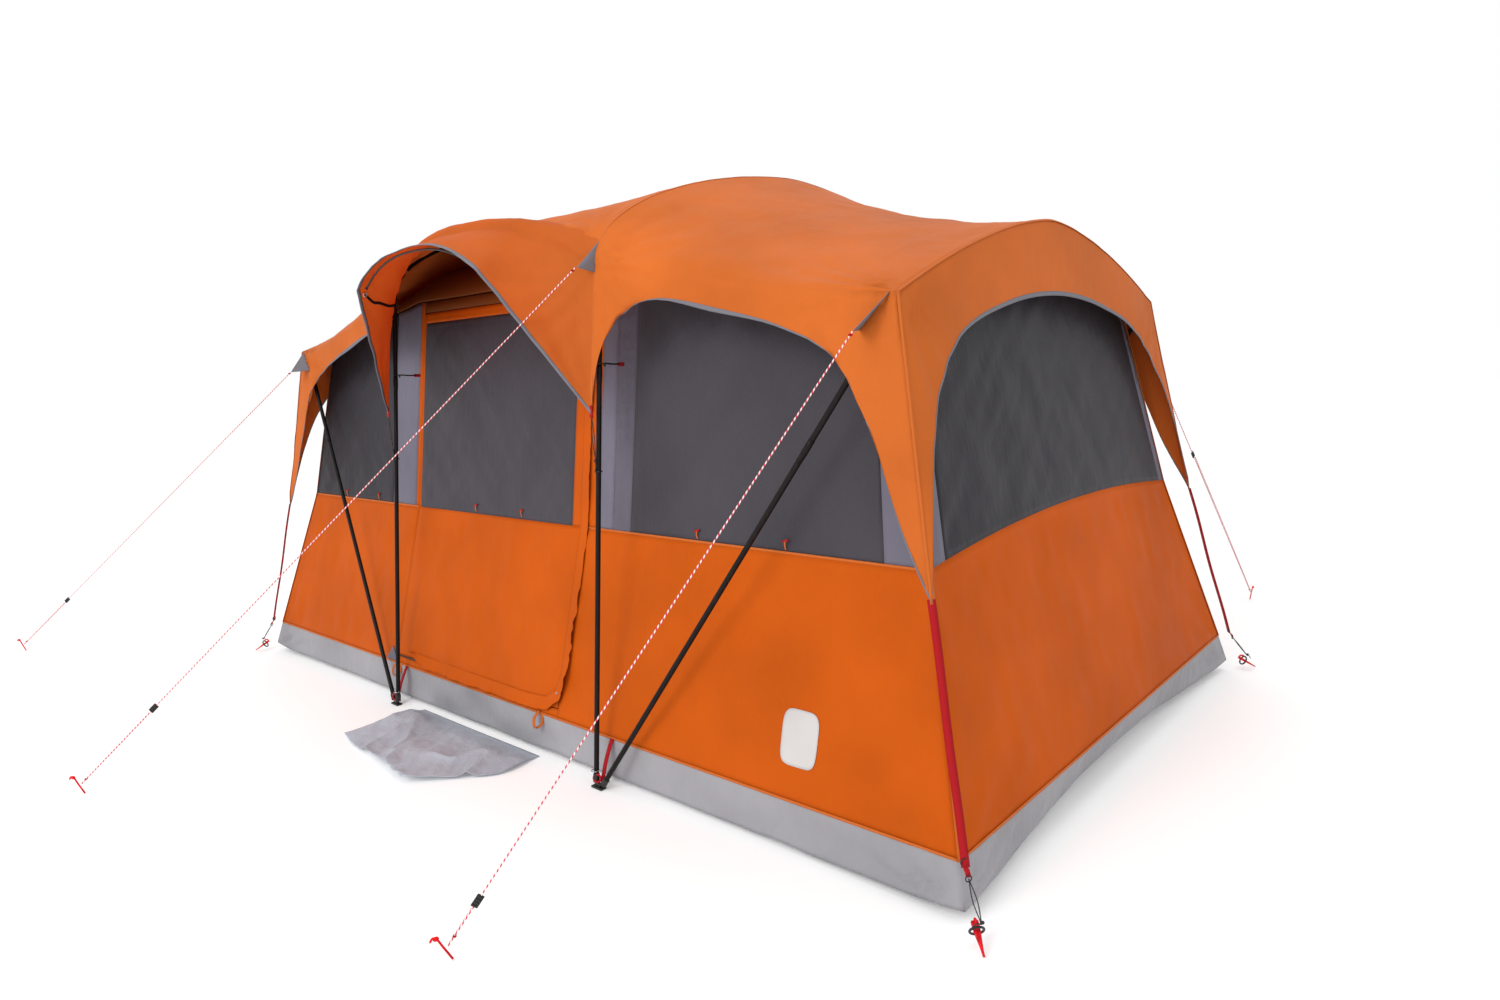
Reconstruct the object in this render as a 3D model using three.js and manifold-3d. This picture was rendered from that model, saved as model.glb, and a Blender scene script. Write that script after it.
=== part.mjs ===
// A wide dome tent. Four hoops stand on four feet: two upright middle hoops and two end hoops
// whose braces lean out to the shoulders. A flysheet lies over the hoops and reaches down to
// scalloped windows and pointed tips, with an awning over the door. Under it hangs an inner tent
// with a tub floor. Millimetres, +X along the tent, the door faces -Y, +Z up.
import * as THREE from 'three';
import { mergeVertices } from 'three/addons/utils/BufferGeometryUtils.js';
import Module from 'manifold-3d';

const wasm = await Module();
wasm.setup();

// Floor and inner walls (half sizes, measured at the outside of the cloth)
const FLOOR_X = 2200;
const FLOOR_Y = 1233;
const BAND_TOP = 165;
const SILL = 896;
const WALL_TOP = 1870;
const END_WALL_TOP = 1720;
const LOWER_LEAN_X = 0.258;
const LOWER_LEAN_Y = 0.274;
const UPPER_LEAN_X = 0.2;
const UPPER_LEAN_Y = 0.143;
const SHOULDER_X = 900;
const WALL_T = 3;
const FLOOR_T = 4;
const CLOTH_GAP = 1.5;

// Hoops
const MID_X = 728;
const FOOT_Y = 1278;
const POLE_R = 9.5;
const MID_HALF = 1084;
const EAVE_Z = 1870;
const MID_RISE = 394;
const HUB = { x: 1893, y: 1000, z: 1662 };
const END_RISE = 268;
const ARCH_POWER = 1.6;
const ARCH_ROOT = 1 / 2.1;

// Flysheet
const FLY_T = 3;
const FLY_GAP = 4;
const POLE_COVER = 20;
const FLY_HUB = { x: 1910, y: 1022, z: 1684 };
const FLY_END_RISE = 266;
const SADDLE = 70;
const EAVE_SAG = 30;
const FRONT_FRACTION = 0.93;
const MID_TIP = { y: 1173, z: 1356 };
const CORNER_TIP = { x: 2058, y: 1128, z: 838 };
const AWNING = { half: 437, reach: 1400, shoulder: 1877, rise: 123 };

// Door
const DOOR = { left: -850, right: 410, bottom: 200, top: 1820 };
const DOOR_GAP = 3;

const V = (x, y, z) => new THREE.Vector3(x, y, z);
const mix = (a, b, t) => a + (b - a) * t;
const mixV = (a, b, t) => a.clone().lerp(b, t);
const clamp01 = (t) => Math.min(1, Math.max(0, t));
const sides = [['left', -1], ['right', 1]];
const faces = [['front', -1], ['back', 1]];

const MATERIALS = {
  orange_cloth: new THREE.MeshStandardMaterial({ color: '#cf6a34', roughness: 0.75 }),
  orange_wall: new THREE.MeshStandardMaterial({ color: '#c4602a', roughness: 0.75 }),
  grey_floor: new THREE.MeshStandardMaterial({ color: '#a6a5aa', roughness: 0.6 }),
  dark_cloth: new THREE.MeshStandardMaterial({ color: '#4a4750', roughness: 0.85 }),
  black_tube: new THREE.MeshStandardMaterial({ color: '#1b1413', roughness: 0.4, metalness: 0.6 }),
  black_plastic: new THREE.MeshStandardMaterial({ color: '#161616', roughness: 0.5 }),
  red_webbing: new THREE.MeshStandardMaterial({ color: '#b41814', roughness: 0.8 }),
  red_peg: new THREE.MeshStandardMaterial({ color: '#a8201c', roughness: 0.45, metalness: 0.4 }),
  guy_cord: new THREE.MeshStandardMaterial({ color: '#d8707a', roughness: 0.8 }),
};

const tent = new THREE.Group();

function add(name, geometry, material) {
  const mesh = new THREE.Mesh(geometry, MATERIALS[material]);
  mesh.name = name;
  tent.add(mesh);
  return mesh;
}

// ---- cloth: grids of points, joined along their shared edges and given a thickness ----

function grid(surface, columns, rows) {
  const points = [];
  for (let i = 0; i <= columns; i += 1) {
    points.push([]);
    for (let j = 0; j <= rows; j += 1) points[i].push(surface(i / columns, j / rows));
  }
  return points;
}

function cellTriangles(points, i, j) {
  const [a, b] = [points[i][j], points[i + 1][j]];
  const [c, d] = [points[i + 1][j + 1], points[i][j + 1]];
  return [[a, b, c], [a, c, d]];
}

function normalOf([a, b, c]) {
  return b.clone().sub(a).cross(c.clone().sub(a));
}

// The triangles of one grid, turned so that they face away from the point `inside`.
function outwardTriangles(points, inside) {
  const triangles = [];
  let facing = 0;
  for (let i = 0; i + 1 < points.length; i += 1) {
    for (let j = 0; j + 1 < points[0].length; j += 1) {
      for (const triangle of cellTriangles(points, i, j)) {
        facing += normalOf(triangle).dot(triangle[0].clone().sub(inside));
        triangles.push(triangle);
      }
    }
  }
  return facing < 0 ? triangles.map(([a, b, c]) => [a, c, b]) : triangles;
}

function cloth(grids, thickness, inside = V(0, 0, 900)) {
  const ids = new Map();
  const outer = [];
  const idOf = (p) => {
    const key = [p.x, p.y, p.z].map((value) => Math.round(value * 50)).join();
    if (!ids.has(key)) {
      ids.set(key, outer.length);
      outer.push(p.clone());
    }
    return ids.get(key);
  };
  const triangles = [];
  for (const points of grids) {
    for (const triangle of outwardTriangles(points, inside)) {
      const [a, b, c] = triangle.map(idOf);
      if (a !== b && b !== c && c !== a) triangles.push([a, b, c]);
    }
  }
  const normals = outer.map(() => V(0, 0, 0));
  for (const corner of triangles) {
    const normal = normalOf(corner.map((id) => outer[id]));
    corner.forEach((id) => normals[id].add(normal));
  }
  const inner = outer.map((p, id) => p.clone().addScaledVector(normals[id].normalize(), -thickness));
  const n = outer.length;
  const edges = new Set(triangles.flatMap(([a, b, c]) => [`${a},${b}`, `${b},${c}`, `${c},${a}`]));
  const index = [];
  for (const [a, b, c] of triangles) {
    index.push(a, b, c, a + n, c + n, b + n);
    for (const [from, to] of [[a, b], [b, c], [c, a]]) {
      if (!edges.has(`${to},${from}`)) index.push(to, from, from + n, to, from + n, to + n);
    }
  }
  const geometry = new THREE.BufferGeometry().setFromPoints([...outer, ...inner]);
  geometry.setIndex(index);
  geometry.computeVertexNormals();
  return geometry;
}

// A Coons patch between a top and a bottom curve and the two side curves that join them.
function coons(top, bottom, left, right) {
  return (u, v) => {
    const ruled = mixV(top(u), bottom(u), v);
    const across = mixV(left(v), right(v), u);
    const flat = mixV(mixV(top(0), top(1), u), mixV(bottom(0), bottom(1), u), v);
    return ruled.add(across).sub(flat);
  };
}

const line = (a, b) => (t) => mixV(a, b, t);
const smooth = (points) => {
  const curve = new THREE.CatmullRomCurve3(points, false, 'centripetal');
  return (t) => curve.getPoint(t);
};
const mirrorY = (curve, face) => (t) => {
  const p = curve(t);
  return V(p.x, p.y * face, p.z);
};

// ---- tubes and straps ----

function disc(radius, corners) {
  const shape = new THREE.Shape();
  for (let k = 0; k < corners; k += 1) {
    const angle = (2 * Math.PI * k) / corners;
    const [x, y] = [radius * Math.cos(angle), radius * Math.sin(angle)];
    if (k === 0) shape.moveTo(x, y);
    else shape.lineTo(x, y);
  }
  return shape;
}

function tube(path, radius, steps, corners = 10) {
  const options = { steps, bevelEnabled: false, extrudePath: path };
  return new THREE.ExtrudeGeometry(disc(radius, corners), options);
}

const pathThrough = (points) => new THREE.CatmullRomCurve3(points, false, 'centripetal');

// A closed bar whose long axis runs from a to b, with its outline in the plane across it.
function barBetween(outline, a, b) {
  const length = a.distanceTo(b);
  const geometry = new THREE.ExtrudeGeometry(outline, { depth: length, bevelEnabled: false, steps: 1 });
  const turn = new THREE.Quaternion().setFromUnitVectors(V(0, 0, 1), b.clone().sub(a).normalize());
  geometry.applyQuaternion(turn);
  geometry.translate(a.x, a.y, a.z);
  return geometry;
}

function rectangle(width, height) {
  const shape = new THREE.Shape();
  shape.moveTo(-width / 2, -height / 2);
  shape.lineTo(width / 2, -height / 2);
  shape.lineTo(width / 2, height / 2);
  shape.lineTo(-width / 2, height / 2);
  return shape;
}

// ---- hoops ----

// Height of a middle hoop above the eave, as a share of its rise, at the share s of its half width.
const hoopShare = (s) => (1 - Math.abs(s) ** ARCH_POWER) ** ARCH_ROOT;
const midPole = (s) => V(0, MID_HALF * s, EAVE_Z + MID_RISE * hoopShare(s));
const endPole = (s) => V(HUB.x, HUB.y * s, HUB.z + END_RISE * (1 - Math.abs(s) ** ARCH_POWER));
const FOOT = { width: 78, depth: 36, top: 34, shift: 16 };
const BRACE_SHIFT = 26;
const STRAIGHT = [0.4, 0.75, 0.92, 0.985];

function uprightPoints(side, face) {
  const foot = V(side * MID_X, face * FOOT_Y, 0);
  const elbow = V(side * MID_X, face * MID_HALF, EAVE_Z);
  const bottom = mixV(foot, elbow, (FOOT.top + 3) / EAVE_Z);
  const bend = [0.985, 0.95].map((s) => midPole(face * s).setX(side * MID_X));
  return [bottom, ...STRAIGHT.map((t) => mixV(foot, elbow, t)), ...bend];
}

function bracePoints(side, face) {
  const foot = V(side * (MID_X + BRACE_SHIFT), face * FOOT_Y, 0);
  const hub = V(side * HUB.x, face * HUB.y, HUB.z);
  const bottom = mixV(foot, hub, (FOOT.top + 9) / HUB.z);
  const bend = endPole(face * 0.94).setX(side * HUB.x);
  return [bottom, ...STRAIGHT.map((t) => mixV(foot, hub, t)), bend];
}

function arcPoints(curve, x, limit, count) {
  const points = [];
  for (let k = 0; k <= count; k += 1) {
    const angle = (Math.PI / 2) * mix(-1, 1, k / count);
    points.push(curve(Math.sin(angle) * limit).setX(x));
  }
  return points;
}

function buildHoops() {
  for (const [sideName, side] of sides) {
    for (const [faceName, face] of faces) {
      const name = `${faceName}_${sideName}`;
      add(`upright_${name}`, tube(pathThrough(uprightPoints(side, face)), POLE_R, 14, 8), 'black_tube');
      add(`brace_${name}`, tube(pathThrough(bracePoints(side, face)), POLE_R, 12, 8), 'black_tube');
      const foot = new THREE.BoxGeometry(FOOT.width, FOOT.depth, FOOT.top);
      foot.translate(side * (MID_X + FOOT.shift), face * FOOT_Y, FOOT.top / 2);
      add(`foot_${name}`, foot, 'black_plastic');
    }
    const roof = pathThrough(arcPoints(midPole, side * MID_X, 0.93, 16));
    add(`roof_pole_${sideName}`, tube(roof, POLE_R, 24, 8), 'black_tube');
    const arch = pathThrough(arcPoints(endPole, side * HUB.x, 0.925, 14));
    add(`end_arch_pole_${sideName}`, tube(arch, POLE_R, 20, 8), 'black_tube');
  }
  const rod = [];
  for (let k = 0; k <= 12; k += 1) rod.push(awningHoop(mix(-0.92, 0.92, k / 12)).add(V(0, 26, -14)));
  add('awning_hoop', tube(pathThrough(rod), 4, 20, 8), 'black_plastic');
}

// ---- flysheet ----

const flyMid = (s) => V(MID_X, (MID_HALF + POLE_COVER) * s, EAVE_Z + (MID_RISE + POLE_COVER) * hoopShare(s));
const flyEnd = (s) => V(FLY_HUB.x, FLY_HUB.y * s, FLY_HUB.z + FLY_END_RISE * (1 - Math.abs(s) ** ARCH_POWER));
const aroundHoop = (t) => Math.sin((Math.PI / 2) * mix(-1, 1, t));
const FLY_EAVE = V(MID_X, MID_HALF + POLE_COVER, EAVE_Z);
const TIP = V(CORNER_TIP.x, CORNER_TIP.y, CORNER_TIP.z);

// Roof between a middle hoop and an end hoop: it hangs in a saddle between them.
function sideRoof(u, v) {
  const s = aroundHoop(u);
  const p = mixV(flyMid(s), flyEnd(s), v);
  p.z -= 4 * v * (1 - v) * mix(EAVE_SAG, SADDLE, hoopShare(s));
  return p;
}

// The scalloped edge of a front or back bay, from the middle tip to the corner tip.
const bayEdge = smooth([
  V(MID_X + 2, MID_TIP.y, MID_TIP.z),
  V(742, 1147, 1520),
  V(795, 1112, 1664),
  V(960, 1084, 1733),
  V(1250, 1064, 1674),
  V(1520, 1055, 1605),
  V(1715, 1062, 1505),
  V(1840, 1082, 1310),
  V(1945, 1106, 1055),
  TIP,
]);

// The arched edge of an end window, from the front tip over to the back tip.
const endEdge = smooth([
  V(CORNER_TIP.x, -CORNER_TIP.y, CORNER_TIP.z),
  V(2013, -1030, 1150),
  V(1972, -915, 1390),
  V(1944, -740, 1552),
  V(1932, -380, 1655),
  V(1930, 0, 1690),
  V(1932, 380, 1655),
  V(1944, 740, 1552),
  V(1972, 915, 1390),
  V(2013, 1030, 1150),
  TIP,
]);

function bayPatch(face) {
  const eave = (u) => {
    const p = mixV(FLY_EAVE, V(FLY_HUB.x, FLY_HUB.y, FLY_HUB.z), u);
    p.z -= 4 * u * (1 - u) * EAVE_SAG;
    return mirrorY(() => p, face)(0);
  };
  const edge = mirrorY(bayEdge, face);
  return coons(eave, edge, line(eave(0), edge(0)), line(eave(1), edge(1)));
}

// The four grids have equal counts along the seams they share, so their points meet.
function flySide(side) {
  const start = FLY_GAP / 2;
  const endSkirt = coons(
    (u) => flyEnd(aroundHoop(u)),
    endEdge,
    line(flyEnd(-1), endEdge(0)),
    line(flyEnd(1), endEdge(1)),
  );
  const shifted = (surface) => (u, v) => {
    const p = surface(u, v);
    const share = clamp01((CORNER_TIP.x - p.x) / (CORNER_TIP.x - MID_X));
    return V(side * (p.x + start * share), p.y, p.z);
  };
  const grids = [grid(shifted(sideRoof), 18, 9), grid(shifted(endSkirt), 18, 3)];
  for (const [, face] of faces) {
    const bay = bayPatch(face);
    grids.push(grid(shifted((u, v) => bay(v, u)), 3, 9));
  }
  return cloth(grids, FLY_T, V(side * 1200, 0, 900));
}

function centreRoof(u, v) {
  const s = mix(-FRONT_FRACTION, 1, 0.5 + 0.5 * Math.sin((Math.PI / 2) * mix(-1, 1, v)));
  const p = flyMid(s);
  p.x = (MID_X - FLY_GAP / 2) * mix(-1, 1, u);
  const forward = clamp01((-s - 0.62) / (FRONT_FRACTION - 0.62));
  const across = 1 - (p.x / MID_X) ** 2;
  p.z += across * (63 * forward * forward - 12 * (1 - forward));
  p.y -= 15 * across * forward;
  return p;
}

const backCentreEdge = smooth([
  V(-MID_X + 4, MID_TIP.y, MID_TIP.z),
  V(-715, 1140, 1530),
  V(-600, 1095, 1685),
  V(0, 1075, 1735),
  V(600, 1095, 1685),
  V(715, 1140, 1530),
  V(MID_X - 4, MID_TIP.y, MID_TIP.z),
]);

function flyCentre() {
  const eave = (u) => centreRoof(u, 1);
  const sideAt = (u) => line(eave(u), backCentreEdge(u));
  const skirt = coons(eave, backCentreEdge, sideAt(0), sideAt(1));
  return cloth([grid(centreRoof, 10, 18), grid(skirt, 10, 3)], FLY_T);
}

const awningHoop = (t) => {
  const z = AWNING.shoulder + AWNING.rise * (1 - Math.abs(t) ** 2.5);
  return V(AWNING.half * t, -AWNING.reach - 12 * (1 - t * t), z);
};

const HOOP_START = 0.28;

function awningEdge(u) {
  const middle = (u - HOOP_START) / (1 - 2 * HOOP_START);
  if (middle > 0 && middle < 1) return awningHoop(mix(-1, 1, middle));
  const side = u < 0.5 ? -1 : 1;
  const share = Math.min(u, 1 - u) / HOOP_START;
  const tip = V(side * (MID_X - 4), -MID_TIP.y, MID_TIP.z);
  return mixV(tip, awningHoop(side), share);
}

function awningSide(side) {
  const bend = 0.24;
  return (v) => {
    const x = side * (MID_X - FLY_GAP / 2);
    if (v < bend) return flyMid(-mix(FRONT_FRACTION, 1, v / bend)).setX(x);
    return mixV(flyMid(-1).setX(x), awningEdge(side < 0 ? 0 : 1), (v - bend) / (1 - bend));
  };
}

function awningCanopy() {
  const lift = V(0, -FLY_GAP * 0.8, -FLY_GAP * 0.8);
  const top = (u) => centreRoof(u, 0).add(lift);
  const left = (v) => awningSide(-1)(v).addScaledVector(lift, 1 - v);
  const right = (v) => awningSide(1)(v).addScaledVector(lift, 1 - v);
  return cloth([grid(coons(top, awningEdge, left, right), 20, 8)], FLY_T, V(0, -600, 900));
}

function buildFly() {
  for (const [name, side] of sides) add(`fly_${name}`, flySide(side), 'orange_cloth');
  add('fly_center', flyCentre(), 'orange_cloth');
  add('awning_canopy', awningCanopy(), 'orange_cloth');
}

// What is left of a closed body when another is cut out of it.
function cut(body, tool) {
  const [left, removed] = [body, tool].map((geometry) => {
    const plain = new THREE.BufferGeometry();
    plain.setAttribute('position', (geometry.index ? geometry.toNonIndexed() : geometry).attributes.position);
    const merged = mergeVertices(plain, 1e-3);
    const vertProperties = merged.attributes.position.array;
    const triVerts = new Uint32Array(merged.index.array);
    return new wasm.Manifold(new wasm.Mesh({ numProp: 3, vertProperties, triVerts }));
  });
  const mesh = left.subtract(removed).getMesh();
  const result = new THREE.BufferGeometry();
  result.setAttribute('position', new THREE.BufferAttribute(mesh.vertProperties, 3));
  return result.setIndex(new THREE.BufferAttribute(mesh.triVerts, 1));
}

// ---- inner tent ----

function wallX(z) {
  const sill = FLOOR_X - LOWER_LEAN_X * (SILL - 50);
  return z < SILL ? sill + LOWER_LEAN_X * (SILL - z) : sill - UPPER_LEAN_X * (z - SILL);
}

function wallY(z) {
  const sill = FLOOR_Y - LOWER_LEAN_Y * (SILL - 50);
  return z < SILL ? sill + LOWER_LEAN_Y * (SILL - z) : sill - UPPER_LEAN_Y * (z - SILL);
}

function tubFloor() {
  const [bandX, bandY] = [wallX(BAND_TOP), wallY(BAND_TOP)];
  const base = (u, v) => V(FLOOR_X * mix(-1, 1, u), FLOOR_Y * mix(-1, 1, v), 0);
  const grids = [grid(base, 4, 4)];
  for (const side of [-1, 1]) {
    grids.push(grid((u, v) => {
      const x = side * mix(FLOOR_X, bandX, v);
      return V(x, mix(FLOOR_Y, bandY, v) * mix(-1, 1, u), BAND_TOP * v);
    }, 4, 1));
    grids.push(grid((u, v) => {
      const y = side * mix(FLOOR_Y, bandY, v);
      return V(mix(FLOOR_X, bandX, v) * mix(-1, 1, u), y, BAND_TOP * v);
    }, 4, 1));
  }
  return cloth(grids, FLOOR_T, V(0, 0, 80));
}

const WALL_FOOT = BAND_TOP + CLOTH_GAP;
const wallEnd = (side) => (z) => side * wallX(z);
const at = (x) => () => x;

function longWallTops(face) {
  const grids = [];
  for (const side of [-1, 1]) {
    const [near, far] = [at(side * SHOULDER_X), wallEnd(side)];
    const slope = (u) => mix(WALL_TOP, END_WALL_TOP, u);
    grids.push(grid((u, v) => {
      const z = mix(SILL, slope(u), v);
      const x = mix(near(z), far(z), u);
      return V(x, face * wallY(z), z);
    }, 2, 2));
    grids.push(grid((u, v) => {
      const z = mix(WALL_FOOT, SILL, v);
      return V(mix(near(z), far(z), u), face * wallY(z), z);
    }, 2, 1));
  }
  return grids;
}

function wallBack() {
  const block = (z0, z1, rows) => grid((u, v) => {
    const z = mix(z0, z1, v);
    return V(SHOULDER_X * mix(-1, 1, u), wallY(z), z);
  }, 2, rows);
  const grids = [...longWallTops(1), block(WALL_FOOT, SILL, 1), block(SILL, WALL_TOP, 2)];
  return cloth(grids, WALL_T);
}

// The front wall leaves an opening for the door between its jambs, sill and header.
function wallFront() {
  const heights = [WALL_FOOT, DOOR.bottom, SILL, (SILL + WALL_TOP) / 2, DOOR.top, WALL_TOP];
  const columns = [-SHOULDER_X, DOOR.left, DOOR.right, SHOULDER_X];
  const grids = [];
  for (let i = 0; i + 1 < columns.length; i += 1) {
    for (let j = 0; j + 1 < heights.length; j += 1) {
      const inDoor = i === 1 && j > 0 && j < heights.length - 2;
      if (!inDoor) {
        grids.push(grid((u, v) => {
          const z = mix(heights[j], heights[j + 1], v);
          return V(mix(columns[i], columns[i + 1], u), -wallY(z), z);
        }, 1, 1));
      }
    }
  }
  for (const side of [-1, 1]) {
    for (let j = 0; j + 1 < heights.length; j += 1) {
      grids.push(grid((u, v) => {
        const raw = mix(heights[j], heights[j + 1], v);
        const drop = (WALL_TOP - END_WALL_TOP) * u * clamp01((raw - SILL) / (WALL_TOP - SILL));
        const z = raw - drop;
        return V(side * mix(SHOULDER_X, wallX(z), u), -wallY(z), z);
      }, 2, 1));
    }
  }
  return cut(cloth(grids, WALL_T), portPrism(PORT.gap, 4 * WALL_T));
}

function wallEndPanel(side) {
  const inset = WALL_T + CLOTH_GAP;
  const block = (z0, z1, rows) => grid((u, v) => {
    const z = mix(z0, z1, v);
    return V(side * wallX(z), (wallY(z) - inset) * mix(-1, 1, u), z);
  }, 4, rows);
  return cloth([block(WALL_FOOT, SILL, 1), block(SILL, END_WALL_TOP, 2)], WALL_T);
}

const INNER_RISE = 262;

function innerRoof() {
  const lift = WALL_T + CLOTH_GAP;
  const ridge = (s) => {
    const z = WALL_TOP + lift;
    return V(SHOULDER_X, wallY(WALL_TOP) * s, z + INNER_RISE * (1 - Math.abs(s) ** 1.8) ** 0.5);
  };
  const end = (s) => V(wallX(END_WALL_TOP), wallY(END_WALL_TOP) * s, END_WALL_TOP + lift);
  const grids = [];
  for (const side of [-1, 1]) {
    grids.push(grid((u, v) => {
      const s = aroundHoop(u);
      const p = mixV(ridge(s), end(s), v);
      return V(side * p.x, p.y, p.z);
    }, 12, 3));
  }
  grids.push(grid((u, v) => ridge(aroundHoop(u)).setX(SHOULDER_X * mix(-1, 1, v)), 12, 2));
  return cloth(grids, WALL_T);
}

// ---- door, window covers, mat and flaps ----

function doorPanel() {
  const heights = [DOOR.bottom + DOOR_GAP, SILL, DOOR.top - DOOR_GAP];
  const block = (z0, z1) => grid((u, v) => {
    const z = mix(z0, z1, v);
    return V(mix(DOOR.left + DOOR_GAP, DOOR.right - DOOR_GAP, u), -wallY(z), z);
  }, 3, 2);
  return cloth([block(heights[0], heights[1]), block(heights[1], heights[2])], WALL_T);
}

const COVER = { bottom: 905, top: 1600, doorTop: 1765, doorLeft: -770, doorRight: 320, depth: 12, t: 2.5 };
const COVER_CORNER_GAP = 150;
const END_COVER_CORNER_GAP = 130;

// A privacy panel behind a window of a long wall, hanging just inside the cloth.
function longCover(face, x0, x1, top) {
  return cloth([grid((u, v) => {
    const z = mix(COVER.bottom, top, v);
    const low = mix(x0(z), x1(z), u);
    return V(low, face * (wallY(z) - COVER.depth), z);
  }, 2, 2)], COVER.t);
}

function endCover(side) {
  return cloth([grid((u, v) => {
    const z = mix(COVER.bottom, COVER.top, v);
    return V(side * (wallX(z) - COVER.depth), (wallY(z) - END_COVER_CORNER_GAP) * mix(-1, 1, u), z);
  }, 2, 2)], COVER.t);
}

const WINDOW_INNER = { left: 1115, right: 700 };
const SLIDER = { width: 12, depth: 7, length: 34, z: 250, inset: 8 };

function buildInner() {
  add('tub_floor', tubFloor(), 'grey_floor');
  add('wall_front', wallFront(), 'orange_wall');
  add('wall_back', wallBack(), 'orange_wall');
  for (const [name, side] of sides) add(`wall_${name}`, wallEndPanel(side), 'orange_wall');
  add('inner_roof', innerRoof(), 'orange_wall');
  add('door_panel', doorPanel(), 'orange_wall');
  const doorCover = longCover(-1, at(COVER.doorLeft), at(COVER.doorRight), COVER.doorTop);
  add('door_window_cover', doorCover, 'dark_cloth');
  const slider = new THREE.BoxGeometry(SLIDER.width, SLIDER.depth, SLIDER.length);
  slider.rotateX(-Math.atan(LOWER_LEAN_Y));
  slider.translate(DOOR.right - DOOR_GAP - SLIDER.inset, -wallY(SLIDER.z) - 5, SLIDER.z);
  add('door_zip_slider', slider, 'black_plastic');
  for (const [faceName, face] of faces) {
    for (const [sideName, side] of sides) {
      const near = face < 0 ? WINDOW_INNER[sideName] : WINDOW_INNER.right;
      const outer = (z) => side * (wallX(z) - COVER_CORNER_GAP);
      const cover = longCover(face, at(side * near), outer, COVER.top);
      add(`window_cover_${faceName}_${sideName}`, cover, 'dark_cloth');
    }
  }
  for (const [name, side] of sides) add(`window_cover_end_${name}`, endCover(side), 'dark_cloth');
}

const MAT = { x: -150, width: 960, reach: 440, t: 3, gap: 14, z: 1.9 };

function doorMat() {
  const mat = new THREE.BoxGeometry(MAT.width, MAT.reach, MAT.t);
  mat.translate(MAT.x, -FLOOR_Y - MAT.gap - MAT.reach / 2, MAT.z);
  return mat;
}

// A triangular flap that closes the cable opening in the lower front wall. The brace stands 45 mm in
// front of it, so it folds into the tent about its base.
const PORT = { x: -895, z: 172, halfWidth: 50, height: 66, t: 2, gap: 2.5 };

function portPrism(margin, depth) {
  const outline = new THREE.Shape();
  outline.moveTo(-PORT.halfWidth - 1.9 * margin, -margin);
  outline.lineTo(PORT.halfWidth + 1.9 * margin, -margin);
  outline.lineTo(0, PORT.height + 2.1 * margin);
  const prism = new THREE.ExtrudeGeometry(outline, { depth, bevelEnabled: false });
  prism.translate(0, 0, (WALL_T - depth) / 2 - WALL_T);
  prism.rotateX(Math.PI / 2 - Math.atan(LOWER_LEAN_Y));
  prism.translate(PORT.x, -wallY(PORT.z), PORT.z);
  return prism;
}

// ---- straps, pegs and guy lines ----

const STRAP = { width: 24, t: 2, low: 0.79 };
const CORNER_PEG = V(2245, 1265, 0);

function cornerStrap(side, face) {
  const turn = V(side, face, 1);
  const top = TIP.clone().multiply(turn);
  const peg = CORNER_PEG.clone().multiply(turn);
  return barBetween(rectangle(STRAP.width, STRAP.t), mixV(top, peg, 0.012), mixV(top, peg, STRAP.low));
}

// The part of a peg that stands out of the ground, leaning away from the tent, with a hook on top.
function peg(foot, away) {
  const flat = away.clone().setZ(0).normalize();
  const point = (out, z) => foot.clone().addScaledVector(flat, out).setZ(z);
  const path = [point(0, 3.5), point(22, 44), point(34, 66), point(44, 72), point(52, 62)];
  return tube(pathThrough(path), 3, 14, 8);
}

// Each guy line: where it is tied to the fly, where its peg stands, and how far along it the runner sits.
const GUYS = {
  corner_right: { from: V(1828, -1128, 1579), peg: V(1211, -2153, 0), runner: 0.93 },
  middle_right: { from: V(712, -1182, 1861), peg: V(-860, -2484, 0), runner: 0.84 },
  corner_left: { from: V(-1828, -1128, 1579), peg: V(-3600, -2150, 0), runner: 0.82 },
  back_right: { from: V(1828, 1128, 1579), peg: V(1990, 2540, 0), runner: 0.42 },
};
const GUY_R = 1.75;
const RUNNER = { length: 36, width: 12, height: 20, hole: 2.4 };
const GUY_END_Z = 42;

function guyEnd(guy) {
  const away = guy.peg.clone().sub(guy.from).setZ(0).normalize();
  return guy.peg.clone().addScaledVector(away, 9).setZ(GUY_END_Z);
}

function runnerOutline() {
  const outline = rectangle(RUNNER.width, RUNNER.height);
  outline.holes.push(new THREE.Path(disc(RUNNER.hole, 10).getPoints()));
  return outline;
}

function buildGround() {
  add('doormat', doorMat(), 'grey_floor');
  add('cable_port_flap', portPrism(0, PORT.t), 'grey_floor');
  for (const [faceName, face] of faces) {
    for (const [sideName, side] of sides) {
      add(`corner_strap_${faceName}_${sideName}`, cornerStrap(side, face), 'red_webbing');
      const foot = CORNER_PEG.clone().multiply(V(side, face, 1));
      add(`corner_peg_${faceName}_${sideName}`, peg(foot, foot), 'red_peg');
    }
  }
  for (const [name, guy] of Object.entries(GUYS)) {
    const end = guyEnd(guy);
    add(`guyline_${name}`, tube(new THREE.LineCurve3(guy.from, end), GUY_R, 8, 8), 'guy_cord');
    const length = guy.from.distanceTo(end);
    const half = RUNNER.length / 2 / length;
    const ends = [guy.runner - half, guy.runner + half].map((t) => mixV(guy.from, end, t));
    add(`guyline_runner_${name}`, barBetween(runnerOutline(), ...ends), 'black_plastic');
    add(`guyline_peg_${name}`, peg(guy.peg, guy.peg.clone().sub(guy.from)), 'red_peg');
  }
}

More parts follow.
